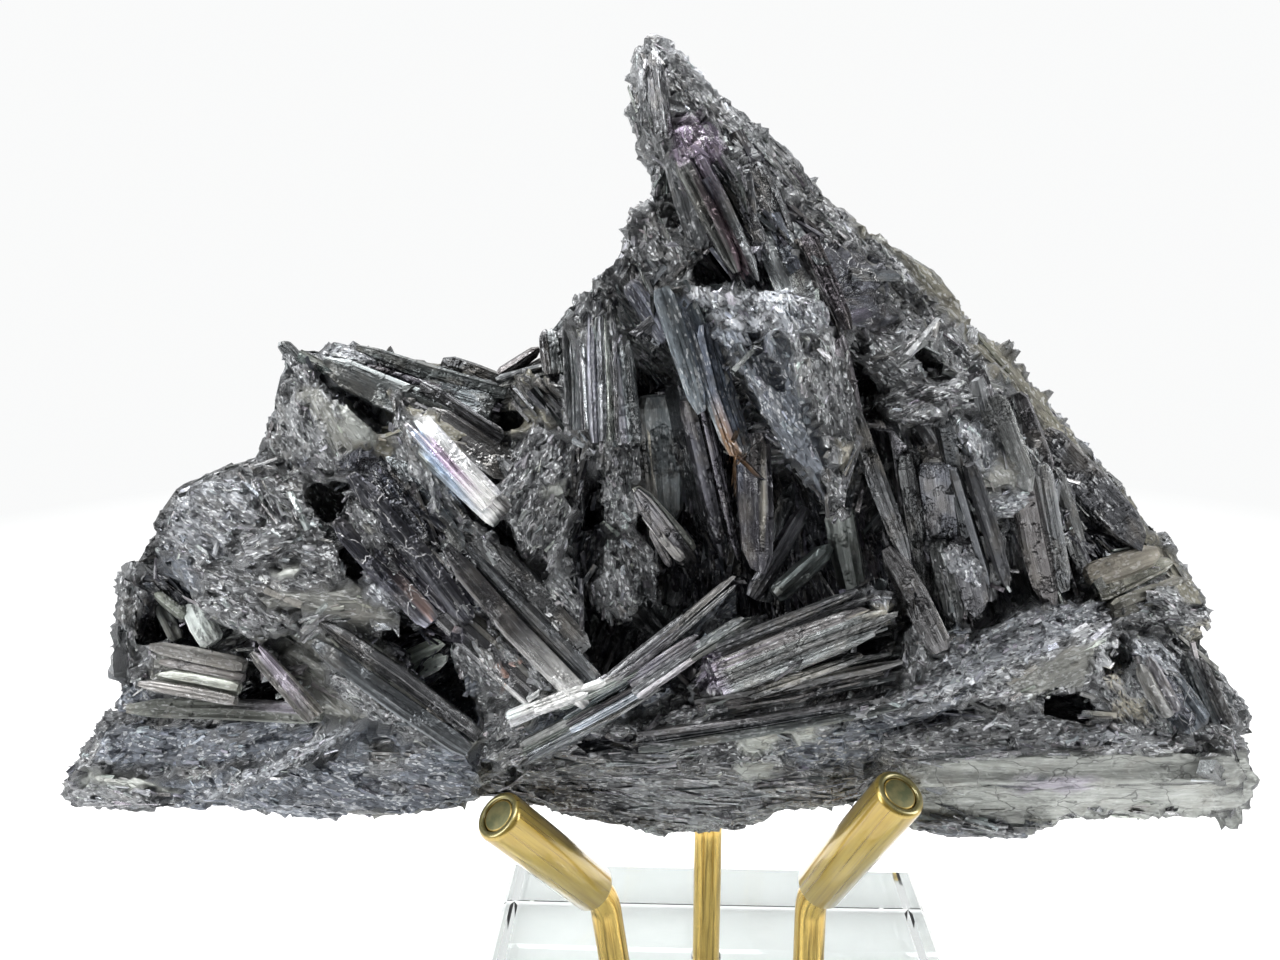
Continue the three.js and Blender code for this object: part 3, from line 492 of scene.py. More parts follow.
def grain_frame(points, angles):
    """Places in mm along the grain, across it and in depth."""
    along = np.sum(points * grain_along(angles), axis=1)
    across = np.sum(points * grain_along(angles - math.pi / 2), axis=1)
    return np.stack([along, across, points @ FORWARD], axis=-1)


# Colours that lie over a place on the front: colour, how metallic, how strong, and the outline.
# The near-white ones are painted highlights.

ACCENTS = [
    # Painted highlight: the bright cleavage plate, near white.
    ((0.86, 0.87, 0.88), 0.55, 0.9, [(412, 418), (424, 412), (500, 496), (490, 510), (440, 456)]),
    ((0.78, 0.62, 0.80), 0.8, 0.7, [(424, 440), (434, 438), (482, 492), (474, 500)]),
    ((0.50, 0.62, 0.80), 0.8, 0.6, [(412, 434), (420, 430), (464, 490), (454, 496)]),
    # Painted highlight at the lower end of the bright plate.
    ((0.85, 0.85, 0.84), 0.4, 0.9, [(486, 486), (502, 508), (484, 526), (470, 512)]),
    ((0.50, 0.30, 0.24), 0.5, 0.8, [(500, 664), (523, 662), (526, 684), (504, 688)]),
    ((0.46, 0.28, 0.22), 0.5, 0.45, [(421, 608), (434, 606), (434, 622), (423, 622)]),
    ((0.72, 0.42, 0.22), 0.9, 0.8, [(722, 438), (734, 434), (744, 462), (732, 468)]),
    # Painted highlight over the same pale streak.
    ((0.84, 0.84, 0.82), 0.45, 0.8, [
        (514, 706), (560, 690), (612, 678), (608, 686), (556, 704), (516, 720)]),
    ((0.80, 0.76, 0.64), 0.1, 0.9, [(1107, 668), (1123, 670), (1120, 690), (1106, 686)]),
    ((0.80, 0.76, 0.64), 0.1, 0.9, [(1112, 700), (1148, 698), (1146, 718), (1116, 720)]),
    ((0.80, 0.76, 0.64), 0.1, 0.8, [(1184, 626), (1216, 622), (1214, 640), (1190, 642)]),
    ((0.78, 0.74, 0.62), 0.1, 0.8, [(839, 441), (851, 444), (855, 488), (845, 486)]),
    ((0.78, 0.74, 0.62), 0.1, 0.7, [(761, 496), (767, 494), (766, 534), (760, 532)]),
    ((0.78, 0.74, 0.62), 0.1, 0.7, [(648, 414), (656, 414), (657, 456), (649, 456)]),
    ((0.78, 0.74, 0.62), 0.1, 0.8, [(868, 606), (892, 603), (892, 622), (872, 624)]),
    ((0.80, 0.78, 0.70), 0.1, 0.8, [(780, 673), (803, 672), (802, 682), (784, 683)]),
    ((0.60, 0.52, 0.68), 0.9, 0.35, [(698, 640), (716, 644), (732, 690), (726, 704), (704, 690)]),
    ((0.60, 0.54, 0.68), 0.9, 0.5, [(248, 643), (262, 643), (312, 704), (304, 714)]),
    ((0.58, 0.52, 0.66), 0.6, 0.5, [(1016, 777), (1087, 777), (1087, 792), (1016, 790)]),
    ((0.50, 0.36, 0.42), 0.9, 0.5, [(704, 200), (716, 204), (754, 276), (744, 282)]),
    ((0.56, 0.44, 0.60), 0.9, 0.4, [(671, 118), (702, 110), (728, 146), (714, 164), (672, 160)]),
    ((0.30, 0.36, 0.48), 0.95, 0.6, [(672, 300), (686, 296), (738, 400), (744, 452), (716, 420)]),
]


# Places on the front painted darker or lighter than their finish: how much, and the outline.
# They are partly the stone's own tone and partly painted shade and painted light.

PAINTED_SHADE_AND_LIGHT = [
    (0.70, [(283, 341), (345, 336), (505, 372), (512, 440), (400, 392), (320, 372)]),
    (0.50, [(300, 470), (400, 470), (450, 540), (420, 580), (320, 560)]),
    (0.55, [(500, 340), (560, 330), (580, 400), (510, 410)]),
    (0.65, [(600, 215), (690, 205), (700, 290), (600, 320)]),
    (0.50, [(660, 288), (712, 330), (776, 470), (770, 500), (730, 470), (690, 380)]),
    (0.60, [(812, 230), (880, 240), (905, 300), (890, 340), (830, 330)]),
    (0.45, [(836, 330), (870, 340), (900, 480), (880, 500), (852, 440)]),
    (0.85, [(715, 600), (893, 590), (900, 625), (740, 700)]),
    (0.65, [(600, 700), (720, 690), (740, 760), (620, 770)]),
    # Painted shade: the stone's dark underside, where the sleeve's shadow falls.
    (0.45, [(500, 780), (620, 780), (640, 830), (520, 830)]),
    (0.70, [(280, 760), (420, 750), (480, 790), (400, 815), (290, 806)]),
    (0.80, [(150, 480), (300, 470), (340, 600), (200, 620), (140, 560)]),
    (0.75, [(100, 696), (300, 690), (320, 722), (120, 724)]),
    (1.50, [(684, 284), (760, 284), (800, 290), (796, 336), (720, 340)]),
    (1.20, [(960, 610), (1020, 600), (1020, 640), (990, 650)]),
    (0.80, [(620, 620), (700, 610), (700, 690), (620, 690)]),
    (1.50, [(780, 520), (860, 520), (860, 560), (780, 560)]),
    (1.80, [(1090, 630), (1140, 632), (1150, 700), (1090, 700)]),
    (0.60, [(470, 430), (540, 430), (530, 480), (480, 480)]),
    (0.60, [(530, 325), (570, 325), (570, 375), (530, 375)]),
    (1.40, [(620, 470), (670, 480), (670, 520), (620, 510)]),
    (1.40, [(540, 540), (590, 540), (590, 580), (540, 580)]),
    (2.20, [(384, 640), (430, 614), (458, 640), (450, 684), (424, 688)]),
    (1.50, [(528, 650), (570, 650), (575, 700), (530, 700)]),
    (0.60, [(905, 590), (950, 590), (950, 640), (905, 640)]),
    (1.50, [(1030, 690), (1110, 690), (1110, 720), (1030, 720)]),
    (0.60, [(745, 470), (785, 470), (785, 600), (745, 600)]),
    (0.60, [(846, 330), (880, 330), (900, 470), (870, 470)]),
    (0.70, [(700, 190), (740, 190), (750, 270), (710, 260)]),
    (1.60, [(745, 190), (785, 190), (790, 260), (755, 260)]),
    (1.50, [(305, 470), (350, 470), (350, 510), (305, 510)]),
    (1.40, [(424, 446), (500, 500), (500, 560), (440, 560)]),
    (1.50, [(630, 160), (672, 160), (672, 230), (630, 230)]),
    (1.30, [(736, 116), (800, 170), (800, 200), (736, 190)]),
    (0.70, [(671, 118), (715, 112), (729, 150), (671, 158)]),
    (0.70, [(736, 660), (890, 640), (890, 700), (736, 710)]),
]


# How ragged the rims of accents and of painted light and shade are: in points of the view, and
# over what distance in mm
RAGGED = 2.4
RAGGED_SPAN = 0.7


def overlay(points, front, tint, metal):
    """Lays accents and painted light and shade over the colours of points, ragged at their rims."""
    shift = np.stack([smooth_noise(points / RAGGED_SPAN, seed) for seed in (31, 32)], axis=-1)
    ragged = picture(points) + RAGGED * shift
    for colour, metallic, strength, outline in ACCENTS:
        chosen = inside(ragged, outline) & front
        tint[chosen] += strength * (np.array(colour) - tint[chosen])
        metal[chosen] += strength * (metallic - metal[chosen])
    for factor, outline in PAINTED_SHADE_AND_LIGHT:
        tint[inside(ragged, outline) & front] *= factor
    return tint, metal


# Meshes


def mesh_object(name, points, quads, marks, smooth):
    """An object of four-sided faces from points in mm, with marks kept at each point."""
    mesh = bpy.data.meshes.new(name)
    mesh.vertices.add(len(points))
    mesh.vertices.foreach_set("co", (points * MM).astype(np.float32).ravel())
    mesh.loops.add(quads.size)
    mesh.loops.foreach_set("vertex_index", quads.astype(np.int32).ravel())
    mesh.polygons.add(len(quads))
    mesh.polygons.foreach_set("loop_start", np.arange(0, quads.size, 4, dtype=np.int32))
    mesh.update(calc_edges=True)
    mesh.polygons.foreach_set("use_smooth", np.full(len(quads), smooth))
    mark(mesh, marks)
    made = bpy.data.objects.new(name, mesh)
    bpy.context.scene.collection.objects.link(made)
    return made


def mark(mesh, marks):
    """Keeps numbers or vectors at a mesh's points, by title."""
    for title, values in marks.items():
        if values.ndim == 1:
            layer = mesh.attributes.new(title, "FLOAT", "POINT")
            layer.data.foreach_set("value", values.astype(np.float32))
        else:
            layer = mesh.attributes.new(title, "FLOAT_VECTOR", "POINT")
            layer.data.foreach_set("vector", values.astype(np.float32).ravel())


def coordinates(mesh):
    """A mesh's points in mm."""
    points = np.empty(3 * len(mesh.vertices), np.float32)
    mesh.vertices.foreach_get("co", points)
    return points.reshape(-1, 3).astype(float) / MM


def normals(mesh):
    """The outward directions at a mesh's points."""
    values = np.empty(3 * len(mesh.vertices), np.float32)
    mesh.vertices.foreach_get("normal", values)
    return values.reshape(-1, 3).astype(float)


def finish_piece(piece, slot, material, *nodes):
    """Gives a piece its material and body, and hides the nodes it stands for; slot is not used."""
    piece.data.materials.clear()
    piece.data.materials.append(material)
    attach(piece, "root")
    if nodes:
        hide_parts(*nodes)


# The body of the stone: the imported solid, remeshed finely and broken up by its finish

VOXEL = 0.66
KEPT_FACES = 0.52
# A plate: how much of its width its raised middle takes, how far below the surface its rim starts
# in mm, how high its shoulder is as a share of its top, and how deep a hole it bridges in mm
PLATE_TOP = 0.72
PLATE_SUNK = 1.2
PLATE_SHOULDER = 0.35
DEEPEST = 5.0
# How large a wedge, a broken facet and a rib are along the grain, across it and in depth, in mm,
# and how far each moves the surface at a relief of 1
WEDGE = np.array([15.0, 4.2, 6.0])
SHARD = np.array([3.4, 1.1, 1.1])
STRIA = np.array([9.0, 0.75, 0.75])
WEDGE_RISE = 1.7
SHARD_RISE = 0.8
STRIA_RISE = 0.45
SUNK = 0.7  # how far the whole surface goes in, in mm, so that its peaks stay in the solid's box
TURNED_TO_EYE = -0.12  # the cosine between sight and a face's outward direction, where it is seen
BODY_TINT = 0.85
SHARP_CRUMB = 0.45  # faces are flat shaded from this crumb up


def depths_at(tree, spots):
    """The Y of the stone at points of the view; where it is far from the others', theirs."""
    places = [tree.ray_cast(Vector(EYE), Vector(unit(rays(*spot))))[0] for spot in spots]
    found = np.array([np.nan if place is None else place.y for place in places])
    level = np.nanmedian(found)
    return np.where(np.abs(found - level) < DEEPEST, found, level), level


def plate(solid, tree, proud, outline):
    """Adds a low plate to a solid: its rim just under the surface, its middle proud of it."""
    middle = np.mean(outline, axis=0)
    depths, level = depths_at(tree, outline)
    corners = []
    for (across, down), depth in zip(outline, depths):
        inner = middle + PLATE_TOP * (np.array([across, down]) - middle)
        corners.append(seen(across, down, depth + PLATE_SUNK))
        corners.append(seen(across, down, depth - PLATE_SHOULDER * proud))
        corners.append(seen(*inner, 0.5 * (depth + level) - proud))
    points = [solid.verts.new(corner * MM) for corner in corners]
    made = bmesh.ops.convex_hull(solid, input=points)
    spare = {item for item in made["geom_interior"] + made["geom_unused"] if item.is_valid}
    corners = [item for item in spare if isinstance(item, bmesh.types.BMVert)]
    bmesh.ops.delete(solid, geom=corners, context="VERTS")


def remeshed(node):
    """The stone's solid with its plates, in even small faces."""
    solid = bmesh.new()
    solid.from_mesh(node.data)
    tree = BVHTree.FromPolygons(
        [v.co / MM for v in solid.verts], [[v.index for v in f.verts] for f in solid.faces])
    for _, _, proud, outline in PATCHES.values():
        if proud:
            plate(solid, tree, proud, outline)
    mesh = bpy.data.meshes.new("stibnite_body")
    solid.to_mesh(mesh)
    solid.free()
    body = bpy.data.objects.new("stibnite_body", mesh)
    bpy.context.scene.collection.objects.link(body)
    apply(body, "REMESH", mode="VOXEL", voxel_size=VOXEL * MM)
    return body


def apply(piece, kind, **settings):
    """Puts one modifier's result into a piece's mesh."""
    modifier = piece.modifiers.new(kind.lower(), kind)
    for title, value in settings.items():
        setattr(modifier, title, value)
    evaluated = piece.evaluated_get(bpy.context.evaluated_depsgraph_get())
    piece.data = bpy.data.meshes.new_from_object(evaluated)
    piece.modifiers.clear()


def facing_eye(points, outward):
    """Which places on the stone the eye can see, where nothing stands before them."""
    return np.sum(unit(points - EYE) * outward, axis=1) < TURNED_TO_EYE


def break_up(body):
    """Moves the body's surface in and out. Returns its even outward directions."""
    mesh = body.data
    points = coordinates(mesh)
    outward = normals(mesh)
    front = facing_eye(points, outward)
    looks = looks_of(points, front)
    grain = grain_frame(points, looks["grain"])
    wedges = shard_noise(grain / WEDGE, 2)
    shards = shard_noise(grain / SHARD, 3)
    stria = shard_noise(grain / STRIA, 4)
    broken = WEDGE_RISE * wedges + SHARD_RISE * looks["crumb"] * shards + STRIA_RISE * stria
    rise = looks["relief"] * broken
    points += outward * (rise - SUNK)[:, None]
    mesh.vertices.foreach_set("co", (points * MM).astype(np.float32).ravel())
    mesh.update()
    return outward


def mark_body(body):
    """Keeps the finish at each point of the body's mesh for its material."""
    mesh = body.data
    points = coordinates(mesh)
    front = facing_eye(points, normals(mesh))
    looks = looks_of(points, front)
    grain = grain_frame(points, looks["grain"])
    tint, metal = overlay(points, front, looks["tint"] * BODY_TINT, looks["metal"].copy())
    marks = {"grain": grain, "tint": tint, "metal": metal}
    mark(mesh, marks | {title: looks[title] for title in ("rough", "crumb", "crack")})
    corner = np.array([face.vertices[0] for face in mesh.polygons])
    mesh.polygons.foreach_set("use_smooth", looks["crumb"][corner] < SHARP_CRUMB)


# Crystals

RIBBED = np.array([
    [1, 0.1], [0.82, 0.9], [0.55, 1], [0.28, 1], [0, 1], [-0.3, 1], [-0.56, 1], [-0.8, 0.85],
    [-1, -0.1], [-0.6, -1], [0, -1], [0.55, -1]])
FOUR_SIDED = np.array([[1.0, -0.25], [0.15, 1.0], [-1.0, 0.25], [-0.15, -1.0]])
# Where a crystal's stations are along it, and how broad and how thick it is there
CHISEL = np.array([[0, 0.7, 0.7], [0.08, 1, 1], [0.5, 1.04, 1], [0.86, 0.9, 0.85], [1, 0.42, 0.25]])
FLAKE = np.array([[0, 0.9, 0.9], [1, 0.7, 0.5]])


def shell(corners, stations):
    """The faces of a prism, by the numbers of its points."""
    quads = []
    for s in range(stations - 1):
        low, high = s * corners, (s + 1) * corners
        for c in range(corners):
            d = (c + 1) % corners
            quads.append([low + c, low + d, high + d, high + c])
    last = (stations - 1) * corners
    for c in range(1, corners - 2, 2):
        quads.append([c + 2, c + 1, c, 0])
        quads.append([last, last + c, last + c + 1, last + c + 2])
    return np.array(quads)


FRONT_DEPTH = 8.0  # the Y in mm up to which accents and painted light and shade reach
TIP_SLOPE = 0.45  # how much a crystal's tip slants, as a share of its half width
GRAIN_RANGE = 300  # the grain starts somewhere else on each crystal, within these mm
OUTERMOST = 0.95  # the share of the half width from which a crystal's edge has a painted highlight


class Crystals:
    """Collects prisms of one kind into one mesh; a painted highlight lightens their long edges."""

    def __init__(self, section, profile, ribs=0.0, edge_highlight=0.0):
        self.section = section
        self.profile = profile
        self.ribs = ribs
        self.edge_highlight = edge_highlight
        self.quads = shell(len(section), len(profile))
        self.points = []
        self.marks = {title: [] for title in ("grain", "tint", "metal", "rough", "crumb", "crack")}

    def add(self, foot, tip, face, wide, thick, look, bow=None):
        """One crystal for each row of foot and tip; face is the way its broad side looks."""
        number = len(foot)
        share, broad, heft = self.profile.T
        along = unit(tip - foot)
        across = unit(np.cross(face, along))
        out = np.cross(along, across)
        middle = foot[:, None] + share[None, :, None] * (tip - foot)[:, None]
        if bow is not None:
            middle += (4 * share * (1 - share))[None, :, None] * bow[:, None]
        reach = wide[:, None, None] * broad[None, :, None] * self.section[:, 0] / 2
        ribbed = self.section[:, 1] - self.ribs * random.random((number, 1, len(self.section)))
        rise = thick[:, None, None] * heft[None, :, None] * ribbed / 2
        slope = random.normal(0, TIP_SLOPE, number)[:, None, None]
        slant = slope * (share**6)[None, :, None] * reach
        points = (
            middle[:, :, None]
            + reach[..., None] * across[:, None, None]
            + rise[..., None] * out[:, None, None]
            + slant[..., None] * along[:, None, None]
        )
        length = np.linalg.norm(tip - foot, axis=1)
        run = share[None, :, None] * length[:, None, None] + 0 * reach
        start = random.uniform(0, GRAIN_RANGE, (number, 1, 1, 3))
        grain = np.stack([run, reach, rise], axis=-1) + start
        each = len(share) * len(self.section)
        self.points.append(points.reshape(-1, 3))
        self.marks["grain"].append(grain.reshape(-1, 3))
        # Painted highlight: the outermost corners are made lighter, as if the long edges caught the
        # light.
        worn = 1 + self.edge_highlight * (np.abs(self.section[:, 0]) > OUTERMOST)
        worn = np.tile(worn, len(share) * number)[:, None]
        self.marks["tint"].append(np.repeat(look["tint"], each, axis=0) * worn)
        for title in ("metal", "rough", "crumb", "crack"):
            self.marks[title].append(np.repeat(look[title], each, axis=0))

    def made(self, name):
        points = np.concatenate(self.points)
        marks = {title: np.concatenate(values) for title, values in self.marks.items()}
        each = len(self.profile) * len(self.section)
        number = len(points) // each
        quads = (self.quads[None] + each * np.arange(number)[:, None, None]).reshape(-1, 4)
        front = points[:, 1] < FRONT_DEPTH
        marks["tint"], marks["metal"] = overlay(points, front, marks["tint"], marks["metal"])
        return mesh_object(name, points, quads, marks, False)


# Small crystals on the surface

RAYS = 20000
SEEN_ACROSS = (55, 1255)
SEEN_DOWN = (28, 846)
BACK_SPOTS = 16000
BACK_SHARE = 0.55  # how many crystals the back has to the front's
EDGE_MARGIN = 0.9  # how near the stone's outline in the view they may reach, in mm
# How far their grain wanders in degrees, and over what distance in mm
WANDER = 12
WANDER_SPAN = 8.0
TIP_OVER = 32  # how far their broad side turns over, in degrees
SIZE_SPREAD = 0.38
LENGTH_SPREAD = 0.2
WIDTH_SPREAD = 0.25
THICKNESS = (0.3, 0.8)  # of their width


def front_spots(tree, outward, corner):
    """Places that the eye sees on the stone: points, and the way that the surface looks there."""
    across = random.uniform(*SEEN_ACROSS, RAYS)
    down = random.uniform(*SEEN_DOWN, RAYS)
    points, faces = [], []
    for sight in unit(rays(across, down)):
        place, _, face, _ = tree.ray_cast(Vector(EYE), Vector(sight))
        if place is not None:
            points.append(place)
            faces.append(face)
    return np.array(points), outward[corner[np.array(faces)]]


def back_spots(mesh, outward, corner, count):
    """Places all over the stone's surface that the eye doesn't see."""
    area = np.empty(len(mesh.polygons), np.float32)
    mesh.polygons.foreach_get("area", area)
    centres = np.empty(3 * len(mesh.polygons), np.float32)
    mesh.polygons.foreach_get("center", centres)
    centres = centres.reshape(-1, 3).astype(float) / MM
    facing = outward[corner]
    hidden = ~facing_eye(centres, facing)
    chance = np.where(hidden, area, 0).astype(float)
    chosen = random.choice(len(area), count, p=chance / chance.sum())
    return centres[chosen], facing[chosen]


def over_stone(tree, points):
    """Which points are seen on the stone, not beside it."""
    eye = Vector(EYE)
    sights = unit(points - EYE)
    return np.array([tree.ray_cast(eye, Vector(sight))[0] is not None for sight in sights])


def scatter(crystals, tree, points, outward, front):
    """Small crystals at those places, as the finish there has them."""
    looks = looks_of(points, front)
    share = np.where(front, 1.0, BACK_SHARE)
    kept = random.random(len(points)) < share * looks["crowd"] / LOOKS["crowd"].max()
    points, outward = points[kept], outward[kept]
    looks = {field: values[kept] for field, values in looks.items()}
    number = len(points)
    grain = looks["grain"] + np.radians(WANDER * smooth_noise(points / WANDER_SPAN, 21))
    along = grain_along(grain)
    along = along - outward * np.sum(along * outward, axis=1, keepdims=True)
    along = unit(along + 0.05 * RIGHT)
    along = turned(along, outward, np.radians(random.normal(0, looks["stray"])))
    along *= random.choice([-1.0, 1.0], number)[:, None]
    lift = np.radians(np.abs(random.normal(0, looks["lift"])))
    along = unit(along * np.cos(lift)[:, None] + outward * np.sin(lift)[:, None])
    face = turned(outward, along, np.radians(random.normal(0, TIP_OVER, number)))
    size = np.exp(random.normal(0, SIZE_SPREAD, number))
    length = looks["length"] * size * np.exp(random.normal(0, LENGTH_SPREAD, number))
    wide = looks["width"] * size * np.exp(random.normal(0, WIDTH_SPREAD, number))
    thick = wide * random.uniform(*THICKNESS, number)
    foot = points - along * (0.45 * length)[:, None] - outward * (0.25 * thick)[:, None]
    tip = points + along * (0.55 * length)[:, None] - outward * (0.1 * thick)[:, None]
    margin = EDGE_MARGIN * along
    within = over_stone(tree, tip + margin) & over_stone(tree, foot - margin)
    looks = {field: values[within] for field, values in looks.items()}
    look = varied(looks, within.sum())
    crystals.add(foot[within], tip[within], face[within], wide[within], thick[within], look)


CRYSTAL_CRUMB = 0.6  # how broken up a crystal is, as a share of the surface that it is on


def varied(looks, number):
    """The looks of separate crystals: each a little lighter, darker or more worn than the next."""
    light = np.exp(random.normal(-0.1, 0.32, number))[:, None]
    hue = 1 + random.normal(0, 0.03, (number, 3))
    return looks | {
        "tint": np.clip(looks["tint"] * light * hue, 0.03, 0.95),
        "rough": np.clip(looks["rough"] + random.normal(0, 0.07, number), 0.1, 0.8),
        "crumb": CRYSTAL_CRUMB * looks["crumb"],
    }


# Large blades, each a bundle of slim crystals: foot, tip, width across the view, and thickness.
# They lie over the large crystals of the solid.

BUNDLES = {
    "crown": ("bladed", [
        ((505, 402, -3), (341, 351, 0), 4.4, 4), ((505, 394, 0), (444, 367, 2), 4.0, 4),
        ((300, 364, -2), (280, 343, -1), 2.4, 3), ((470, 428, -6), (300, 353, -3), 3.4, 3.5),
        ((490, 412, -5), (372, 374, -1), 3.6, 4), ((500, 446, -7), (408, 386, -4), 4.0, 4),
        ((512, 470, -9), (430, 408, -7), 3.0, 4)]),
    # Painted highlight: the bright cleavage plate, in the near-white finish.
    "bright plate": ("white", [((492, 502, -15), (418, 420, -10), 3.4, 3)]),
    "plate ribs": ("ribbed", [((504, 518, -15), (424, 444, -11), 3.4, 3)]),
    # Painted highlight: near-white blades along the same pale streak.
    "painted highlight streak": ("white", [
        ((510, 719, -18), (552, 702, -18), 2.0, 2), ((536, 708, -18), (592, 688, -17), 1.8, 2),
        ((576, 694, -17), (612, 679, -17), 1.0, 2)]),
    "saddle": ("ribbed", [
        ((500, 392, -2), (572, 372, 0), 4.0, 4), ((504, 378, 0), (546, 352, 1), 2.6, 3)]),
    "dark plates": ("smooth", [
        ((474, 612, -13), (352, 462, -8), 6.0, 4), ((452, 560, -12), (372, 455, -7), 4.4, 4),
        ((440, 616, -13), (338, 514, -9), 5.0, 4)]),
    "diagonals": ("bladed", [
        ((592, 694, -16), (440, 532, -11), 4.6, 4), ((578, 652, -15), (474, 530, -12), 3.6, 4),
        ((545, 694, -16), (430, 588, -11), 4.6, 4), ((470, 742, -17), (300, 620, -15), 4.0, 4)]),
    "left prisms": ("platy", [
        ((316, 716, -17), (248, 643, -14), 2.6, 3), ((190, 616, -9), (152, 582, -6), 2.0, 3),
        ((178, 640, -8), (156, 588, -5), 1.8, 3), ((214, 644, -11), (186, 600, -8), 2.4, 3),
        ((320, 714, -14), (112, 706, -9), 2.2, 4), ((388, 668, -6), (452, 638, -10), 1.6, 3),
        ((398, 682, -7), (458, 652, -11), 1.6, 3), ((244, 684, -14), (152, 666, -11), 6.2, 3)]),
    "centre fan": ("bladed", [
        ((655, 396, -4), (668, 520, -1), 3.4, 5), ((674, 388, -6), (701, 545, -3), 3.6, 5),
        ((694, 396, -8), (733, 556, -5), 3.8, 5), ((752, 436, -8), (751, 590, -11), 3.6, 5),
        ((838, 505, -9), (856, 600, -6), 2.4, 4), ((640, 420, -4), (652, 556, -1), 3.0, 5),
        ((688, 560, -5), (631, 482, -9), 1.8, 4), ((632, 600, -11), (662, 634, -8), 2.4, 4)]),
    "white tufts": ("pale", [
        ((690, 548, -5), (636, 486, -8), 1.8, 2), ((680, 556, -6), (640, 506, -8), 1.2, 2),
        ((668, 562, -6), (648, 524, -8), 1.2, 2)]),
    "centre rays": ("bladed", [
        ((752, 598, -12), (811, 497, -7), 2.4, 4), ((764, 600, -10), (790, 488, -4), 1.8, 4),
        ((776, 596, -13), (836, 538, -9), 3.0, 4)]),
    "blue blades": ("bluish", [
        ((672, 288, -10), (714, 408, -13), 5.0, 5), ((700, 330, -11), (744, 466, -14), 4.4, 5),
        ((632, 288, -6), (668, 352, -9), 3.0, 4)]),
    "peak blades": ("bladed", [
        ((690, 160, -8), (752, 287, -12), 4.2, 5), ((716, 160, -8), (768, 268, -10), 3.6, 5),
        ((676, 152, -7), (702, 262, -9), 2.8, 4), ((748, 170, -6), (792, 262, -9), 3.2, 5),
        ((774, 236, -8), (820, 336, -13), 3.6, 5), ((802, 244, -8), (848, 352, -12), 3.8, 5),
        ((664, 140, -8), (650, 52, -5), 2.6, 3)]),
    "left columns": ("fibrous", [
        ((580, 430, -11), (574, 322, -7), 3.4, 4), ((606, 440, -13), (602, 300, -8), 3.6, 4),
        ((628, 440, -11), (618, 340, -10), 3.2, 4), ((556, 376, -7), (550, 331, -4), 2.6, 3)]),
    "struts": ("bladed", [
        ((838, 336, -13), (862, 448, -11), 3.0, 4), ((852, 410, -13), (906, 560, -12), 2.6, 4),
        ((938, 646, -15), (880, 536, -12), 2.8, 4)]),
    "hanging fan": ("bladed", [
        ((990, 398, -8), (1031, 494, -10), 3.4, 4), ((1010, 396, -5), (1048, 484, -7), 3.0, 4),
        ((960, 464, -13), (1006, 602, -11), 4.4, 4), ((938, 540, -12), (956, 624, -12), 3.2, 4),
        ((958, 540, -13), (978, 620, -12), 3.2, 4), ((884, 430, -10), (906, 604, -7), 3.0, 4),
        ((908, 452, -11), (930, 600, -8), 3.0, 4), ((934, 462, -12), (946, 560, -10), 3.2, 4),
        ((1030, 466, -9), (1058, 606, -9), 4.6, 4), ((1052, 470, -6), (1086, 562, -6), 2.8, 4),
        ((1040, 436, 0), (1146, 556, -2), 3.2, 5)]),
    "right plates": ("olive", [
        ((1084, 578, -5), (1152, 552, -1), 2.6, 4), ((1096, 596, -6), (1168, 566, -1), 3.0, 4),
        ((1108, 612, -7), (1182, 582, -1), 2.4, 4)]),
    "heel blades": ("ribbed", [
        ((1170, 712, -13), (1138, 652, -10), 2.6, 3), ((1222, 722, -9), (1188, 646, -5), 3.0, 4)]),
    "heel plate": ("smooth", [((1196, 726, -13), (1164, 672, -10), 3.6, 3)]),
    "big bundle": ("ribbed", [
        ((724, 668, -14), (892, 603, -18), 6.6, 6), ((744, 690, -13), (862, 646, -16), 2.6, 4)]),
    "low blades": ("ribbed", [
        ((700, 704, -13), (906, 664, -13), 4.6, 5), ((640, 742, -16), (900, 700, -16), 3.0, 3)]),
    "swoosh": ("fibrous", [
        ((530, 750, -17), (622, 704, -16), 3.0, 3), ((572, 726, -17), (668, 672, -15), 3.4, 3),
        ((560, 704, -17), (650, 662, -15), 1.6, 3), ((612, 680, -16), (690, 618, -13), 2.2, 3),
        ((634, 688, -16), (706, 640, -14), 3.4, 3), ((662, 644, -14), (742, 576, -12), 2.0, 3),
        ((690, 656, -15), (748, 618, -13), 1.8, 3)]),
    "back": ("bladed", [
        ((700, 300, 22), (672, 110, 14), 5, 5), ((720, 330, 24), (826, 226, 21), 8, 5),
        ((640, 470, 24), (790, 300, 26), 6, 6), ((820, 560, 26), (930, 360, 24), 8, 6),
        ((960, 640, 24), (1090, 500, 22), 7, 6), ((900, 700, 21), (1170, 650, 13), 6, 6),
        ((600, 660, 24), (840, 660, 26), 8, 6), ((560, 640, 21), (520, 440, 18), 7, 6),
        ((480, 620, 18), (320, 500, 13), 8, 5), ((440, 740, 12), (190, 640, 9), 6, 5)]),
}
# How wide each slim crystal of a blade is, in mm
RIB = {
    "ribbed": 1.1, "olive": 2.6, "white": 0.9, "bladed": 2.5, "fibrous": 0.8, "bluish": 2.4,
    "smooth": 3.2, "platy": 1.7, "pale": 2.0}
# A blade on the back: from what Y in mm its place is looked for, how far it stands proud, and how
# far at most it sinks into the stone where that bulges
BEHIND = 60
BACK_PROUD = 1.8
MOST_SUNK = 2.0


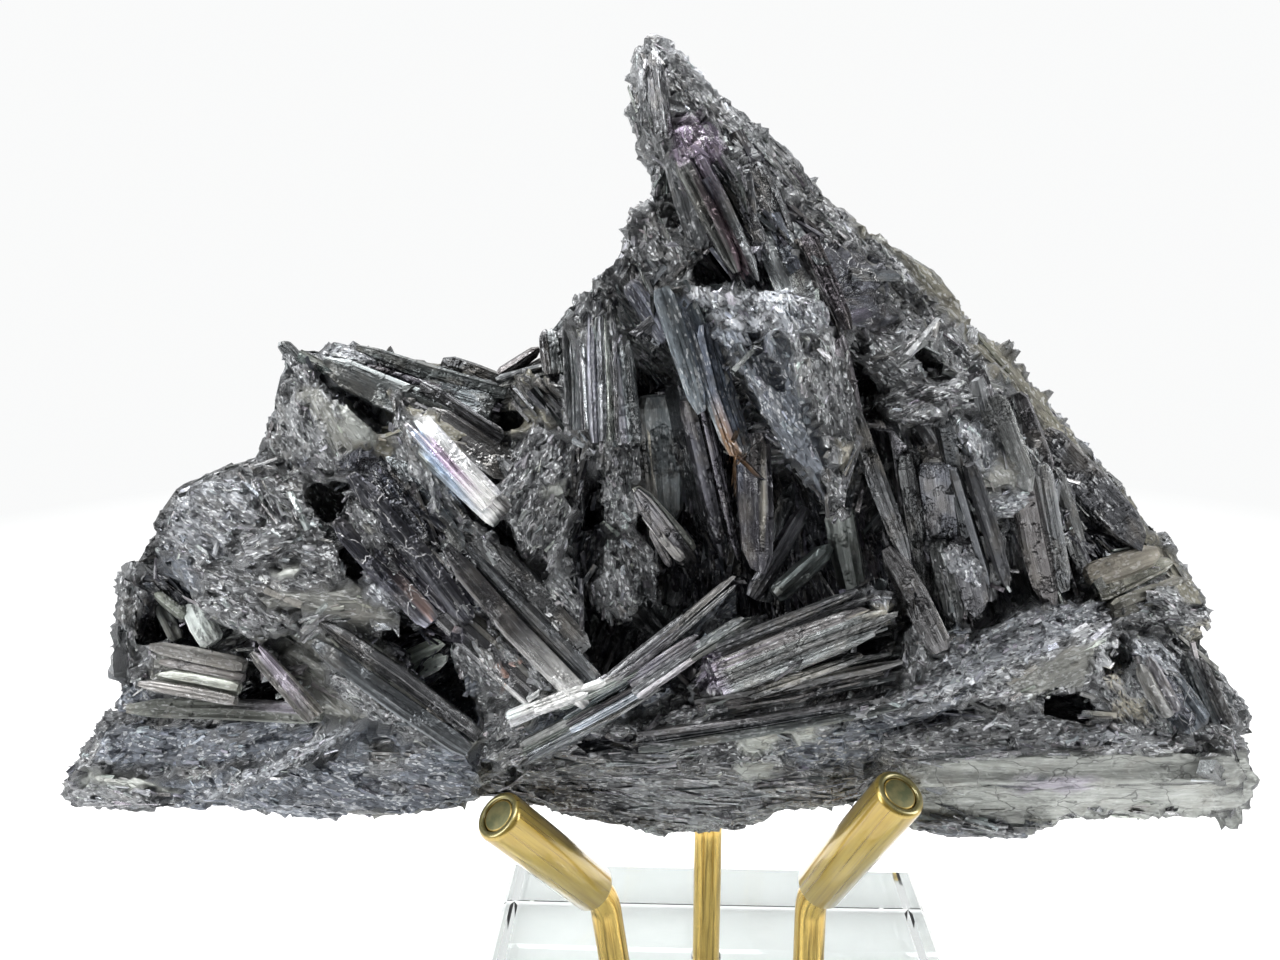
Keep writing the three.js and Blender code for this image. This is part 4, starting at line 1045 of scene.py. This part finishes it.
def laid_on_back(tree, foot, tip, wide, thick):
    """The same blade moved in depth until it lies on the stone's far side."""
    middle = tuple((a + b) / 2 for a, b in zip(foot, tip))
    depths = []
    for across, down, depth in (foot, middle, tip):
        far = seen(across, down, BEHIND)
        place = tree.ray_cast(Vector(far), Vector(unit(EYE - far)))[0]
        depths.append(depth if place is None else place.y)
    hollow = np.clip((depths[0] + depths[2]) / 2 - depths[1], 0.0, MOST_SUNK)
    sink = hollow + thick / 2 - BACK_PROUD
    return (*foot[:2], depths[0] - sink), (*tip[:2], depths[2] - sink), wide, thick


FACE_TILT = 0.5  # how far a slim crystal's broad side turns over, in radians


def bundle(crystals, foot, tip, wide, thick, finish, side):
    """Slim crystals side by side, on the side of the stone that looks that way."""
    start, end = seen(*foot), seen(*tip)
    along = unit(end - start)
    out = side * unit((start + end) / 2 - EYE)
    out = unit(out - along * (out @ along))
    across = np.cross(out, along)
    number = max(1, round(wide / RIB[finish]))
    each = wide / number
    place = ((np.arange(number) + 0.5) / number - 0.5) * wide
    rise = thick / 2 - 0.35 * each + random.uniform(-0.35, 0.45, number) * min(each, 1.2)
    shift = across * place[:, None] + out * rise[:, None]
    length = np.linalg.norm(end - start)
    feet = start + shift - along * random.uniform(0, 0.03, number)[:, None] * length
    tips = end + shift - along * random.uniform(-0.02, 0.16, number)[:, None] * length
    tips += across * random.normal(0, 0.12 * each, number)[:, None]
    outs, alongs = np.tile(out, (number, 1)), np.tile(along, (number, 1))
    face = turned(outs, alongs, random.normal(0, FACE_TILT, number))
    broad = each * random.uniform(0.8, 1.7, number)
    bow = across * random.normal(0, 0.008, (number, 1)) + out * random.normal(0, 0.01, (number, 1))
    deep = np.minimum(1.6, 0.9 * each + 0.5) * random.uniform(0.8, 1.2, number)
    kind = np.full(number, NAMES.index(finish))
    looks = {field: LOOKS[field][kind] for field in FIELDS}
    crystals.add(feet, tips, face, broad, deep, varied(looks, number), bow * length)


# Materials


class Nodes:
    """The nodes of one material or of the world, made by short calls."""

    def __init__(self, owner):
        owner.use_nodes = True
        self.owner = owner
        self.tree = owner.node_tree

    def add(self, kind, settings=None, **inputs):
        node = self.tree.nodes.new(kind)
        for title, value in (settings or {}).items():
            setattr(node, title, value)
        for title, value in inputs.items():
            self.put(node.inputs[title.replace("_", " ")], value)
        return node

    def put(self, socket, value):
        if isinstance(value, bpy.types.NodeSocket):
            self.tree.links.new(value, socket)
        else:
            socket.default_value = value

    def shader(self, **inputs):
        """Sets inputs of the material's own shader, and returns the shader."""
        shader = self.tree.nodes["Principled BSDF"]
        for title, value in inputs.items():
            self.put(shader.inputs[title.replace("_", " ")], value)
        return shader

    def mark(self, title):
        return self.add("ShaderNodeAttribute", {"attribute_name": title}).outputs

    def math(self, operation, *values):
        node = self.add("ShaderNodeMath", {"operation": operation})
        for socket, value in zip(node.inputs, values):
            self.put(socket, value)
        return node.outputs[0]

    def vector(self, operation, first, second=(0.0, 0.0, 0.0)):
        node = self.add("ShaderNodeVectorMath", {"operation": operation})
        self.put(node.inputs[0], first)
        self.put(node.inputs[1], second)
        return node.outputs[0]

    def object_places(self):
        return self.add("ShaderNodeTexCoord").outputs["Object"]

    def scaled(self, vector, scale):
        return self.vector("MULTIPLY", vector, scale)

    def warped(self, grain):
        """The grain's places, stretched and wandering, for cracks."""
        places = self.scaled(grain, (0.11, 0.26, 0.26))
        slow = self.scaled(grain, (0.5, 0.5, 0.5))
        drift = self.add("ShaderNodeTexNoise", Vector=slow, Scale=1.0).outputs["Color"]
        return self.vector("ADD", places, self.scaled(drift, (0.35, 0.35, 0.35)))

    def tilted(self, cells, share, most):
        """A lean of its own for each cell, as large as its share of the most."""
        lean = self.vector("SUBTRACT", cells.outputs["Color"], (0.5, 0.5, 0.5))
        amount = self.math("MULTIPLY", share, most)
        amounts = self.add("ShaderNodeCombineXYZ", X=amount, Y=amount, Z=amount)
        return self.scaled(lean, amounts.outputs[0])

    def noise(self, vector, detail=3.0, roughness=0.55):
        values = {"Scale": 1.0, "Detail": detail, "Roughness": roughness}
        return self.add("ShaderNodeTexNoise", Vector=vector, **values).outputs[0]

    def cells(self, vector, feature="F1"):
        settings = {"feature": feature}
        return self.add("ShaderNodeTexVoronoi", settings, Vector=vector, Scale=1.0)

    def ramp(self, value, *stops):
        node = self.add("ShaderNodeValToRGB", Fac=value)
        elements = node.color_ramp.elements
        while len(elements) < len(stops):
            elements.new(0.5)
        for element, (place, colour) in zip(elements, stops):
            element.position = place
            element.color = colour if isinstance(colour, tuple) else (colour, colour, colour, 1)
        return node.outputs[0]

    def mix(self, share, first, second, blend="MIX"):
        node = self.add("ShaderNodeMix", {"data_type": "RGBA", "blend_type": blend})
        self.put(node.inputs[0], share)
        self.put(node.inputs[6], first)
        self.put(node.inputs[7], second)
        return node.outputs[2]

    def joined(self, share, first, second):
        """A mix of two shaders."""
        node = self.add("ShaderNodeMixShader")
        for socket, value in zip(node.inputs, (share, first, second)):
            self.put(socket, value)
        return node.outputs[0]

    def bump(self, height, strength, distance, normal=None):
        node = self.add("ShaderNodeBump", Height=height, Strength=strength, Distance=distance)
        if normal is not None:
            self.put(node.inputs["Normal"], normal)
        return node.outputs[0]


def material_nodes(name):
    return Nodes(bpy.data.materials.new(name))


# How closely each part of the stone's material repeats, per mm, in any direction or along the
# grain, across it and in depth
TO_MM = (1000.0, 1000.0, 1000.0)
CRUST = (0.17, 0.17, 0.17)
SHADE = (0.09, 0.09, 0.09)
LINES = (0.16, 2.3, 2.3)
BROAD_LINES = (0.1, 0.55, 0.55)
FOLDS = (0.4, 1.1, 1.1)
CLOUDS = (0.16, 0.24, 0.24)
FACETS = (1.8, 3.9, 3.9)
CHIPS = (0.55, 1.4, 1.4)

FIBRE_TINT = (0.62, 0.63, 0.64, 1)
GRIME_TINT = (0.20, 0.18, 0.15, 1)
GLINT_TINT = (0.9, 0.92, 0.94, 1)
# Painted shade in pits among the crumbled facets.
PIT_SHADE_TINT = (0.05, 0.05, 0.055, 1)
# Painted shade in the creases between grains.
CREASE_SHADE_TINT = (0.03, 0.03, 0.035, 1)
DARK_CRACK = (0.07, 0.07, 0.07, 1)
LIGHT_CRACK = (0.6, 0.6, 0.6, 1)


def stibnite_material():
    """Metallic grey: fine lines along the grain, tilted facets where it is crumbled, and cracks."""
    n = material_nodes("stibnite")
    grain = n.mark("grain")["Vector"]
    crack = n.mark("crack")["Fac"]
    places = n.scaled(n.object_places(), TO_MM)
    crust = n.ramp(n.noise(n.scaled(places, CRUST), 4.0, 0.6), (0.5, 0.0), (0.62, 0.75))
    crumb = n.math("MAXIMUM", n.mark("crumb")["Fac"], crust)
    shade = n.noise(n.scaled(places, SHADE), 3.0, 0.6)
    lines = n.noise(n.scaled(grain, LINES), 5.0, 0.66)
    broad = n.noise(n.scaled(grain, BROAD_LINES), 2.0)
    folds = n.noise(n.scaled(grain, FOLDS), 5.0, 0.65)
    cloud = n.noise(n.scaled(grain, CLOUDS), 3.0)
    facets = n.cells(n.scaled(grain, FACETS))
    chips = n.cells(n.scaled(grain, CHIPS))
    edges = n.cells(n.warped(grain), "DISTANCE_TO_EDGE")
    creases = n.ramp(folds, (0.36, 1.0), (0.42, 0.0))

    lightness = n.math("ADD", n.math("MULTIPLY", lines, 1.3), n.math("MULTIPLY", broad, 0.7))
    lightness = n.math("MULTIPLY", lightness, n.math("MULTIPLY_ADD", shade, 1.6, 0.2))
    colour = n.mix(1.0, n.mark("tint")["Vector"], lightness, "MULTIPLY")
    fibres = n.math("MULTIPLY", n.ramp(lines, (0.58, 0.0), (0.68, 1.0)), 0.35)
    colour = n.mix(fibres, colour, FIBRE_TINT)
    grime = n.ramp(cloud, (0.52, 0.0), (0.66, 1.0))
    colour = n.mix(n.math("MULTIPLY", grime, 0.3), colour, GRIME_TINT)
    chance = n.add("ShaderNodeSeparateColor", Color=facets.outputs["Color"]).outputs[0]
    rare = n.math("MULTIPLY_ADD", shade, -0.45, 1.08)
    loose = n.math("MAXIMUM", n.mark("crumb")["Fac"], n.math("MULTIPLY", crust, 0.4))
    glint = n.math("MULTIPLY", n.math("GREATER_THAN", chance, rare), loose)
    colour = n.mix(n.math("MULTIPLY", glint, 0.85), colour, GLINT_TINT)
    # Painted shade: the darkest facet cells of crumbled places, as pits.
    pit = n.math("MULTIPLY", n.ramp(chance, (0.1, 1.0), (0.16, 0.0)), crumb)
    colour = n.mix(n.math("MULTIPLY", pit, 0.7), colour, PIT_SHADE_TINT)
    # Painted shade in the creases between grains, where the folds are low.
    crease_shade = n.math("MULTIPLY", n.math("MULTIPLY", creases, crumb), 0.75)
    colour = n.mix(crease_shade, colour, CREASE_SHADE_TINT)
    line = n.ramp(edges.outputs["Distance"], (0.004, 1.0), (0.016, 0.0))
    line = n.math("MULTIPLY", line, n.math("ABSOLUTE", crack))
    side = n.ramp(n.math("ADD", crack, 0.5), (0.45, DARK_CRACK), (0.55, LIGHT_CRACK))
    colour = n.mix(line, colour, side)

    uneven = n.math("MULTIPLY", n.math("SUBTRACT", broad, 0.5), 0.3)
    rough = n.math("ADD", n.mark("rough")["Fac"], uneven)
    metal = n.math("SUBTRACT", n.mark("metal")["Fac"], n.math("MULTIPLY", grime, 0.2))
    metal = n.math("MULTIPLY_ADD", glint, -0.45, metal)
    tilt = n.vector("ADD", n.tilted(facets, crumb, 0.9), n.tilted(chips, crumb, 0.7))
    normal = n.add("ShaderNodeNewGeometry").outputs["Normal"]
    normal = n.vector("NORMALIZE", n.vector("ADD", normal, tilt))
    normal = n.bump(lines, 0.8, 0.0002, normal)
    normal = n.bump(n.math("MULTIPLY", folds, crumb), 0.9, 0.0009, normal)
    normal = n.bump(n.math("MULTIPLY", line, -1.0), 0.5, 0.0002, normal)
    n.shader(Base_Color=colour, Metallic=metal, Roughness=rough, Normal=normal)
    return n.owner


def brass_material():
    """Drawn brass, with dark lengthwise marks, a worn sheen and a dull green cut end."""
    n = material_nodes("brass")
    grain = n.mark("grain")["Vector"]
    marks = n.noise(n.scaled(grain, (0.05, 1.6, 1.6)), 4.0, 0.6)
    spots = n.noise(n.scaled(grain, (0.25, 0.6, 0.6)), 3.0)
    worn = n.ramp(marks, (0.34, 1.0), (0.5, 0.0))
    colour = n.mix(n.math("MULTIPLY", worn, 0.75), (0.68, 0.48, 0.15, 1), (0.18, 0.12, 0.045, 1))
    stain = n.ramp(spots, (0.55, 0.0), (0.72, 1.0))
    colour = n.mix(n.math("MULTIPLY", stain, 0.6), colour, (0.46, 0.30, 0.08, 1))
    rough = n.math("ADD", n.math("MULTIPLY", marks, 0.25), 0.12)
    normal = n.bump(marks, 0.12, 0.0001)
    end = n.mark("end")["Fac"]
    dull = n.ramp(spots, (0.4, (0.10, 0.11, 0.05, 1)), (0.65, (0.20, 0.18, 0.08, 1)))
    colour = n.mix(end, colour, dull)
    rough = n.math("MULTIPLY_ADD", end, 0.25, rough)
    metal = n.math("MULTIPLY_ADD", end, -0.5, 1.0)
    n.shader(Base_Color=colour, Metallic=metal, Roughness=rough, Normal=normal)
    return n.owner


def vinyl_material():
    """Clear vinyl drawn tightly over brass: the brass fills it, with a gloss of its own."""
    n = material_nodes("vinyl")
    grain = n.mark("grain")["Vector"]
    haze = n.noise(n.scaled(grain, (0.06, 0.7, 0.7)), 3.0)
    streaks = n.noise(n.scaled(grain, (0.04, 1.9, 1.9)), 3.0)
    worn = n.ramp(streaks, (0.36, 1.0), (0.5, 0.0))
    colour = n.ramp(haze, (0.35, (0.42, 0.29, 0.055, 1)), (0.65, (0.52, 0.385, 0.09, 1)))
    colour = n.mix(n.math("MULTIPLY", worn, 0.5), colour, (0.26, 0.17, 0.05, 1))
    end = n.mark("end")["Fac"]
    colour = n.mix(end, colour, (0.24, 0.21, 0.08, 1))
    rough = n.math("ADD", n.math("MULTIPLY", streaks, 0.2), 0.2)
    n.shader(Base_Color=colour, Metallic=0.7, Roughness=rough, Coat_Weight=1.0)
    n.shader(Coat_Roughness=0.06, Normal=n.bump(haze, 0.15, 0.0002))
    return n.owner


def acrylic_material():
    """Clear and polished, a little scuffed and very slightly green."""
    n = material_nodes("acrylic")
    scuffs = n.noise(n.scaled(n.object_places(), (240.0, 240.0, 240.0)), 5.0, 0.7)
    colour = n.ramp(scuffs, (0.3, (0.80, 0.835, 0.825, 1)), (0.8, (0.86, 0.885, 0.88, 1)))
    rough = n.ramp(scuffs, (0.5, 0.015), (0.8, 0.07))
    n.shader(Base_Color=colour, Roughness=rough, Transmission_Weight=1.0, IOR=1.49)
    return n.owner


# The stand

# Where each rod enters the block (X and Y), where it bends, and where it ends, in mm
RODS = {
    "left": ((-13.2, -6.6), (-18.2, -6.6, 45.8), (-31.4, -17.6, 66.2)),
    "right": ((13.4, -6.6), (13.2, -6.6, 46.6), (22.2, -18.2, 71.0)),
    "rear": ((-1.7, 12.4), (-1.7, 12.4, 47.0), (-2.4, 27.0, 68.0)),
}
ROD = {"radius": 2.35, "rounding": 0.35, "foot": 8.3, "bend": 2.6, "bend_steps": 10, "reach": 0.7}
SLEEVE = {
    "inner": 2.65, "outer": 3.55, "rounding": 0.3, "crown": 0.75, "lip": 2.42, "overhang": 0.9,
    "start": 3.2}
CROWN_ANGLES = np.radians([90, 65, 40, 20, 0])
ROUND_SIDES = 48


def swept(name, places, headings, radii, end=0):
    """A round piece: rings of points about places, square to its headings.

    The last rings, as many as end says, are its end, which has a look of its own.
    """
    side = unit(np.cross(headings, np.array([0.0, 1.0, 0.35])))
    other = np.cross(headings, side)
    turn = np.linspace(0, 2 * math.pi, ROUND_SIDES, endpoint=False)
    ring = np.cos(turn)[:, None] * side[:, None] + np.sin(turn)[:, None] * other[:, None]
    points = places[:, None] + radii[:, None, None] * ring
    quads = []
    for s in range(len(places) - 1):
        for c in range(ROUND_SIDES):
            d = (c + 1) % ROUND_SIDES
            low, high = s * ROUND_SIDES, (s + 1) * ROUND_SIDES
            quads.append([low + c, low + d, high + d, high + c])
    run = np.concatenate([[0], np.cumsum(np.linalg.norm(np.diff(places, axis=0), axis=1))])
    shape = np.broadcast_to(radii[:, None], ring.shape[:2])
    along = run[:, None] + 0 * shape
    grain = np.stack([along, np.cos(turn) * shape, np.sin(turn) * shape], axis=-1)
    capped = np.repeat(np.arange(len(places)) >= len(places) - end, ROUND_SIDES).astype(float)
    marks = {"grain": grain.reshape(-1, 3), "end": capped}
    return mesh_object(name, points.reshape(-1, 3), np.array(quads), marks, True)


def rod(name, foot, corner, tip):
    """A brass rod: up from its socket, round the bend and on to its tip, its ends eased."""
    foot = np.array([*foot, ROD["foot"]])
    corner, tip = np.array(corner), np.array(tip)
    upward, onward = unit(corner - foot), unit(tip - corner)
    tip = tip + ROD["reach"] * onward
    before, after = corner - ROD["bend"] * upward, corner + ROD["bend"] * onward
    t = np.linspace(0, 1, ROD["bend_steps"])[:, None]
    turn = (1 - t) ** 2 * before + 2 * t * (1 - t) * corner + t**2 * after
    heading = unit((1 - t) * (corner - before) + t * (after - corner))
    shaft = np.linspace(0, 1, 5)[:-1, None]
    ease = ROD["rounding"]
    places = np.concatenate([
        [foot, foot, foot + ease * upward],
        foot + ease * upward + (before - foot - ease * upward) * shaft[1:],
        turn,
        [tip - ease * onward, tip - 0.3 * ease * onward, tip, tip],
    ])
    headings = np.concatenate([np.tile(upward, (6, 1)), heading, np.tile(onward, (4, 1))])
    full = ROD["radius"]
    radii = np.full(len(places), full)
    radii[:2] = 0.0, full - ease
    radii[-4:] = full, full - 0.3 * ease, full - ease, 0.0
    return swept(name, places, headings, radii, 2)


def sleeve(name, corner, tip):
    """A tube over the bent end of a rod, its upper rim rounded and drawn in over the brass."""
    corner, tip = np.array(corner), np.array(tip)
    heading = unit(tip - corner)
    start = corner + SLEEVE["start"] * heading
    length = np.linalg.norm(tip - start) + SLEEVE["overhang"]
    inner, outer, lip = SLEEVE["inner"], SLEEVE["outer"], SLEEVE["lip"]
    ease, crown = SLEEVE["rounding"], SLEEVE["crown"]
    inward = crown * (1 - np.sin(CROWN_ANGLES))
    downward = crown * (1 - np.cos(CROWN_ANGLES))
    rim = np.stack([outer - inward, length - downward], axis=-1)
    profile = np.concatenate([
        [[inner, 0], [outer - ease, 0], [outer - 0.3 * ease, 0.3 * ease], [outer, ease]],
        rim,
        [[lip, length - 0.1], [lip, length - 0.6], [inner, length - 1.0], [inner, 0]],
    ])
    places = start + profile[:, 1:] * heading
    return swept(name, places, np.tile(heading, (len(profile), 1)), profile[:, 0], 6)


# The room: floor, light and camera

BACKGROUND = (0.955, 0.96, 0.96, 1)
FLOOR = {"radius": 1.6, "sides": 96, "height": -0.0002}


def floor_material():
    """Pale, lit by the lamps near the stand and even farther off, where it meets the background."""
    n = material_nodes("floor")
    far = n.add("ShaderNodeVectorMath", {"operation": "LENGTH"})
    n.put(far.inputs[0], n.object_places())
    share = n.ramp(far.outputs["Value"], (0.14, 0.0), (0.5, 1.0))
    even = n.add("ShaderNodeEmission", Color=BACKGROUND, Strength=1.0)
    lit = n.shader(Base_Color=(0.86, 0.86, 0.86, 1), Roughness=0.7)
    n.shader(Emission_Color=(1, 1, 1, 1), Emission_Strength=0.2)
    join = n.joined(share, lit.outputs[0], even.outputs[0])
    n.put(n.tree.nodes["Material Output"].inputs[0], join)
    return n.owner


def floor():
    """A pale round floor."""
    turn = np.linspace(0, 2 * math.pi, FLOOR["sides"], endpoint=False)
    mesh = bpy.data.meshes.new("floor")
    radius, height = FLOOR["radius"], FLOOR["height"]
    rim = [(radius * math.cos(a), radius * math.sin(a), height) for a in turn]
    mesh.from_pydata(rim, [], [list(range(FLOOR["sides"]))])
    made = bpy.data.objects.new("floor", mesh)
    bpy.context.scene.collection.objects.link(made)
    mesh.materials.append(floor_material())


def lamp(name, place, size, power):
    """A soft lamp that looks at the middle of the stone."""
    light = bpy.data.lights.new(name, "AREA")
    light.shape = "RECTANGLE"
    light.size, light.size_y = size
    light.energy = power
    made = bpy.data.objects.new(name, light)
    made.location = place
    sight = Vector(LAMPS_AIM) - Vector(place)
    made.rotation_euler = sight.to_track_quat("-Z", "Y").to_euler()
    bpy.context.scene.collection.objects.link(made)


LAMPS_AIM = (0, 0, 0.1)
# Each lamp's name, its place and size in metres, and its power in watts
LAMPS = [
    ("overhead", (-0.15, 0.1, 0.75), (0.7, 0.5), 8.2),
    ("left", (-0.6, -0.25, 0.4), (0.3, 0.5), 3.3),
    ("right", (0.65, -0.1, 0.35), (0.2, 0.5), 2.4),
]
# How bright the room is, from low and behind the viewer to high and behind the stone
ROOM_LIGHT = [(0.0, 0.03), (0.42, 0.06), (0.62, 0.32), (1.0, 0.85)]
ROOM_BLUE = 1.02


def room():
    """A white background, and a room that is light above and dim behind the viewer."""
    world = bpy.data.worlds.new("room")
    bpy.context.scene.world = world
    n = Nodes(world)
    n.tree.nodes.clear()
    place = n.add("ShaderNodeTexCoord").outputs["Generated"]
    split = n.add("ShaderNodeSeparateXYZ", Vector=place).outputs
    shift = n.math("MULTIPLY_ADD", split["Y"], 0.45, 0.4)
    height = n.math("MULTIPLY_ADD", split["Z"], 0.45, shift)
    stops = [(at, (value, value, value * ROOM_BLUE, 1)) for at, value in ROOM_LIGHT]
    soft = n.add("ShaderNodeBackground", Color=n.ramp(height, *stops)).outputs[0]
    white = n.add("ShaderNodeBackground", Color=BACKGROUND).outputs[0]
    path = n.add("ShaderNodeLightPath").outputs
    clear = n.math("MAXIMUM", path["Is Camera Ray"], path["Is Transmission Ray"])
    out = n.add("ShaderNodeOutputWorld")
    n.put(out.inputs[0], n.joined(clear, soft, white))


def camera():
    """The camera at the eye, with the view's focal length."""
    data = bpy.data.cameras.new("camera")
    data.sensor_width = 36
    data.lens = VIEW["focal"] / (2 * VIEW["across"]) * data.sensor_width
    data.clip_start = 0.005
    data.clip_end = 20
    made = bpy.data.objects.new("camera", data)
    axes = Matrix((RIGHT, UP, -FORWARD)).transposed().to_4x4()
    made.matrix_world = Matrix.Translation(EYE * MM) @ axes
    bpy.context.scene.collection.objects.link(made)
    bpy.context.scene.camera = made


def stone():
    """The stone's body, the small crystals on its front and back, and the large blades."""
    body = remeshed(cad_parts["stibnite_cluster"])
    outward = break_up(body)
    points = coordinates(body.data)
    faces = [tuple(face.vertices) for face in body.data.polygons]
    corner = np.array([face[0] for face in faces])
    tree = BVHTree.FromPolygons([Vector(p) for p in points], faces)
    spots, facing = front_spots(tree, outward, corner)
    far_spots, far_facing = back_spots(body.data, outward, corner, BACK_SPOTS)
    apply(body, "DECIMATE", ratio=KEPT_FACES)
    mark_body(body)
    material = stibnite_material()
    finish_piece(body, "stibnite", material, "stibnite_cluster")

    small = Crystals(FOUR_SIDED, FLAKE)
    scatter(small, tree, spots, facing, np.full(len(spots), True))
    finish_piece(small.made("stibnite_front_crystals"), "stibnite", material)

    far = Crystals(FOUR_SIDED, FLAKE)
    scatter(far, tree, far_spots, far_facing, np.full(len(far_spots), False))
    finish_piece(far.made("stibnite_back_crystals"), "stibnite", material)

    large = Crystals(RIBBED, CHISEL, 0.5, 1.0)
    for title, (finish, rows) in BUNDLES.items():
        for row in rows:
            if title == "back":
                row = laid_on_back(tree, *row)
            bundle(large, *row, finish, 1 if title == "back" else -1)
    finish_piece(large.made("stibnite_blades"), "stibnite", material)


def stand():
    """The rods and sleeves, and the block's material."""
    brass, vinyl = brass_material(), vinyl_material()
    for side, (foot, corner, tip) in RODS.items():
        finish_piece(rod(f"rod_{side}", foot, corner, tip), "brass", brass, f"brass_rod_{side}")
        finish_piece(sleeve(f"sleeve_{side}", corner, tip), "vinyl", vinyl, f"vinyl_sleeve_{side}")
    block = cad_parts["acrylic_block"]
    block.data.materials.clear()
    block.data.materials.append(acrylic_material())


camera()
room()
floor()
for lamp_row in LAMPS:
    lamp(*lamp_row)
bpy.context.scene.view_settings.view_transform = "Standard"
stone()
stand()
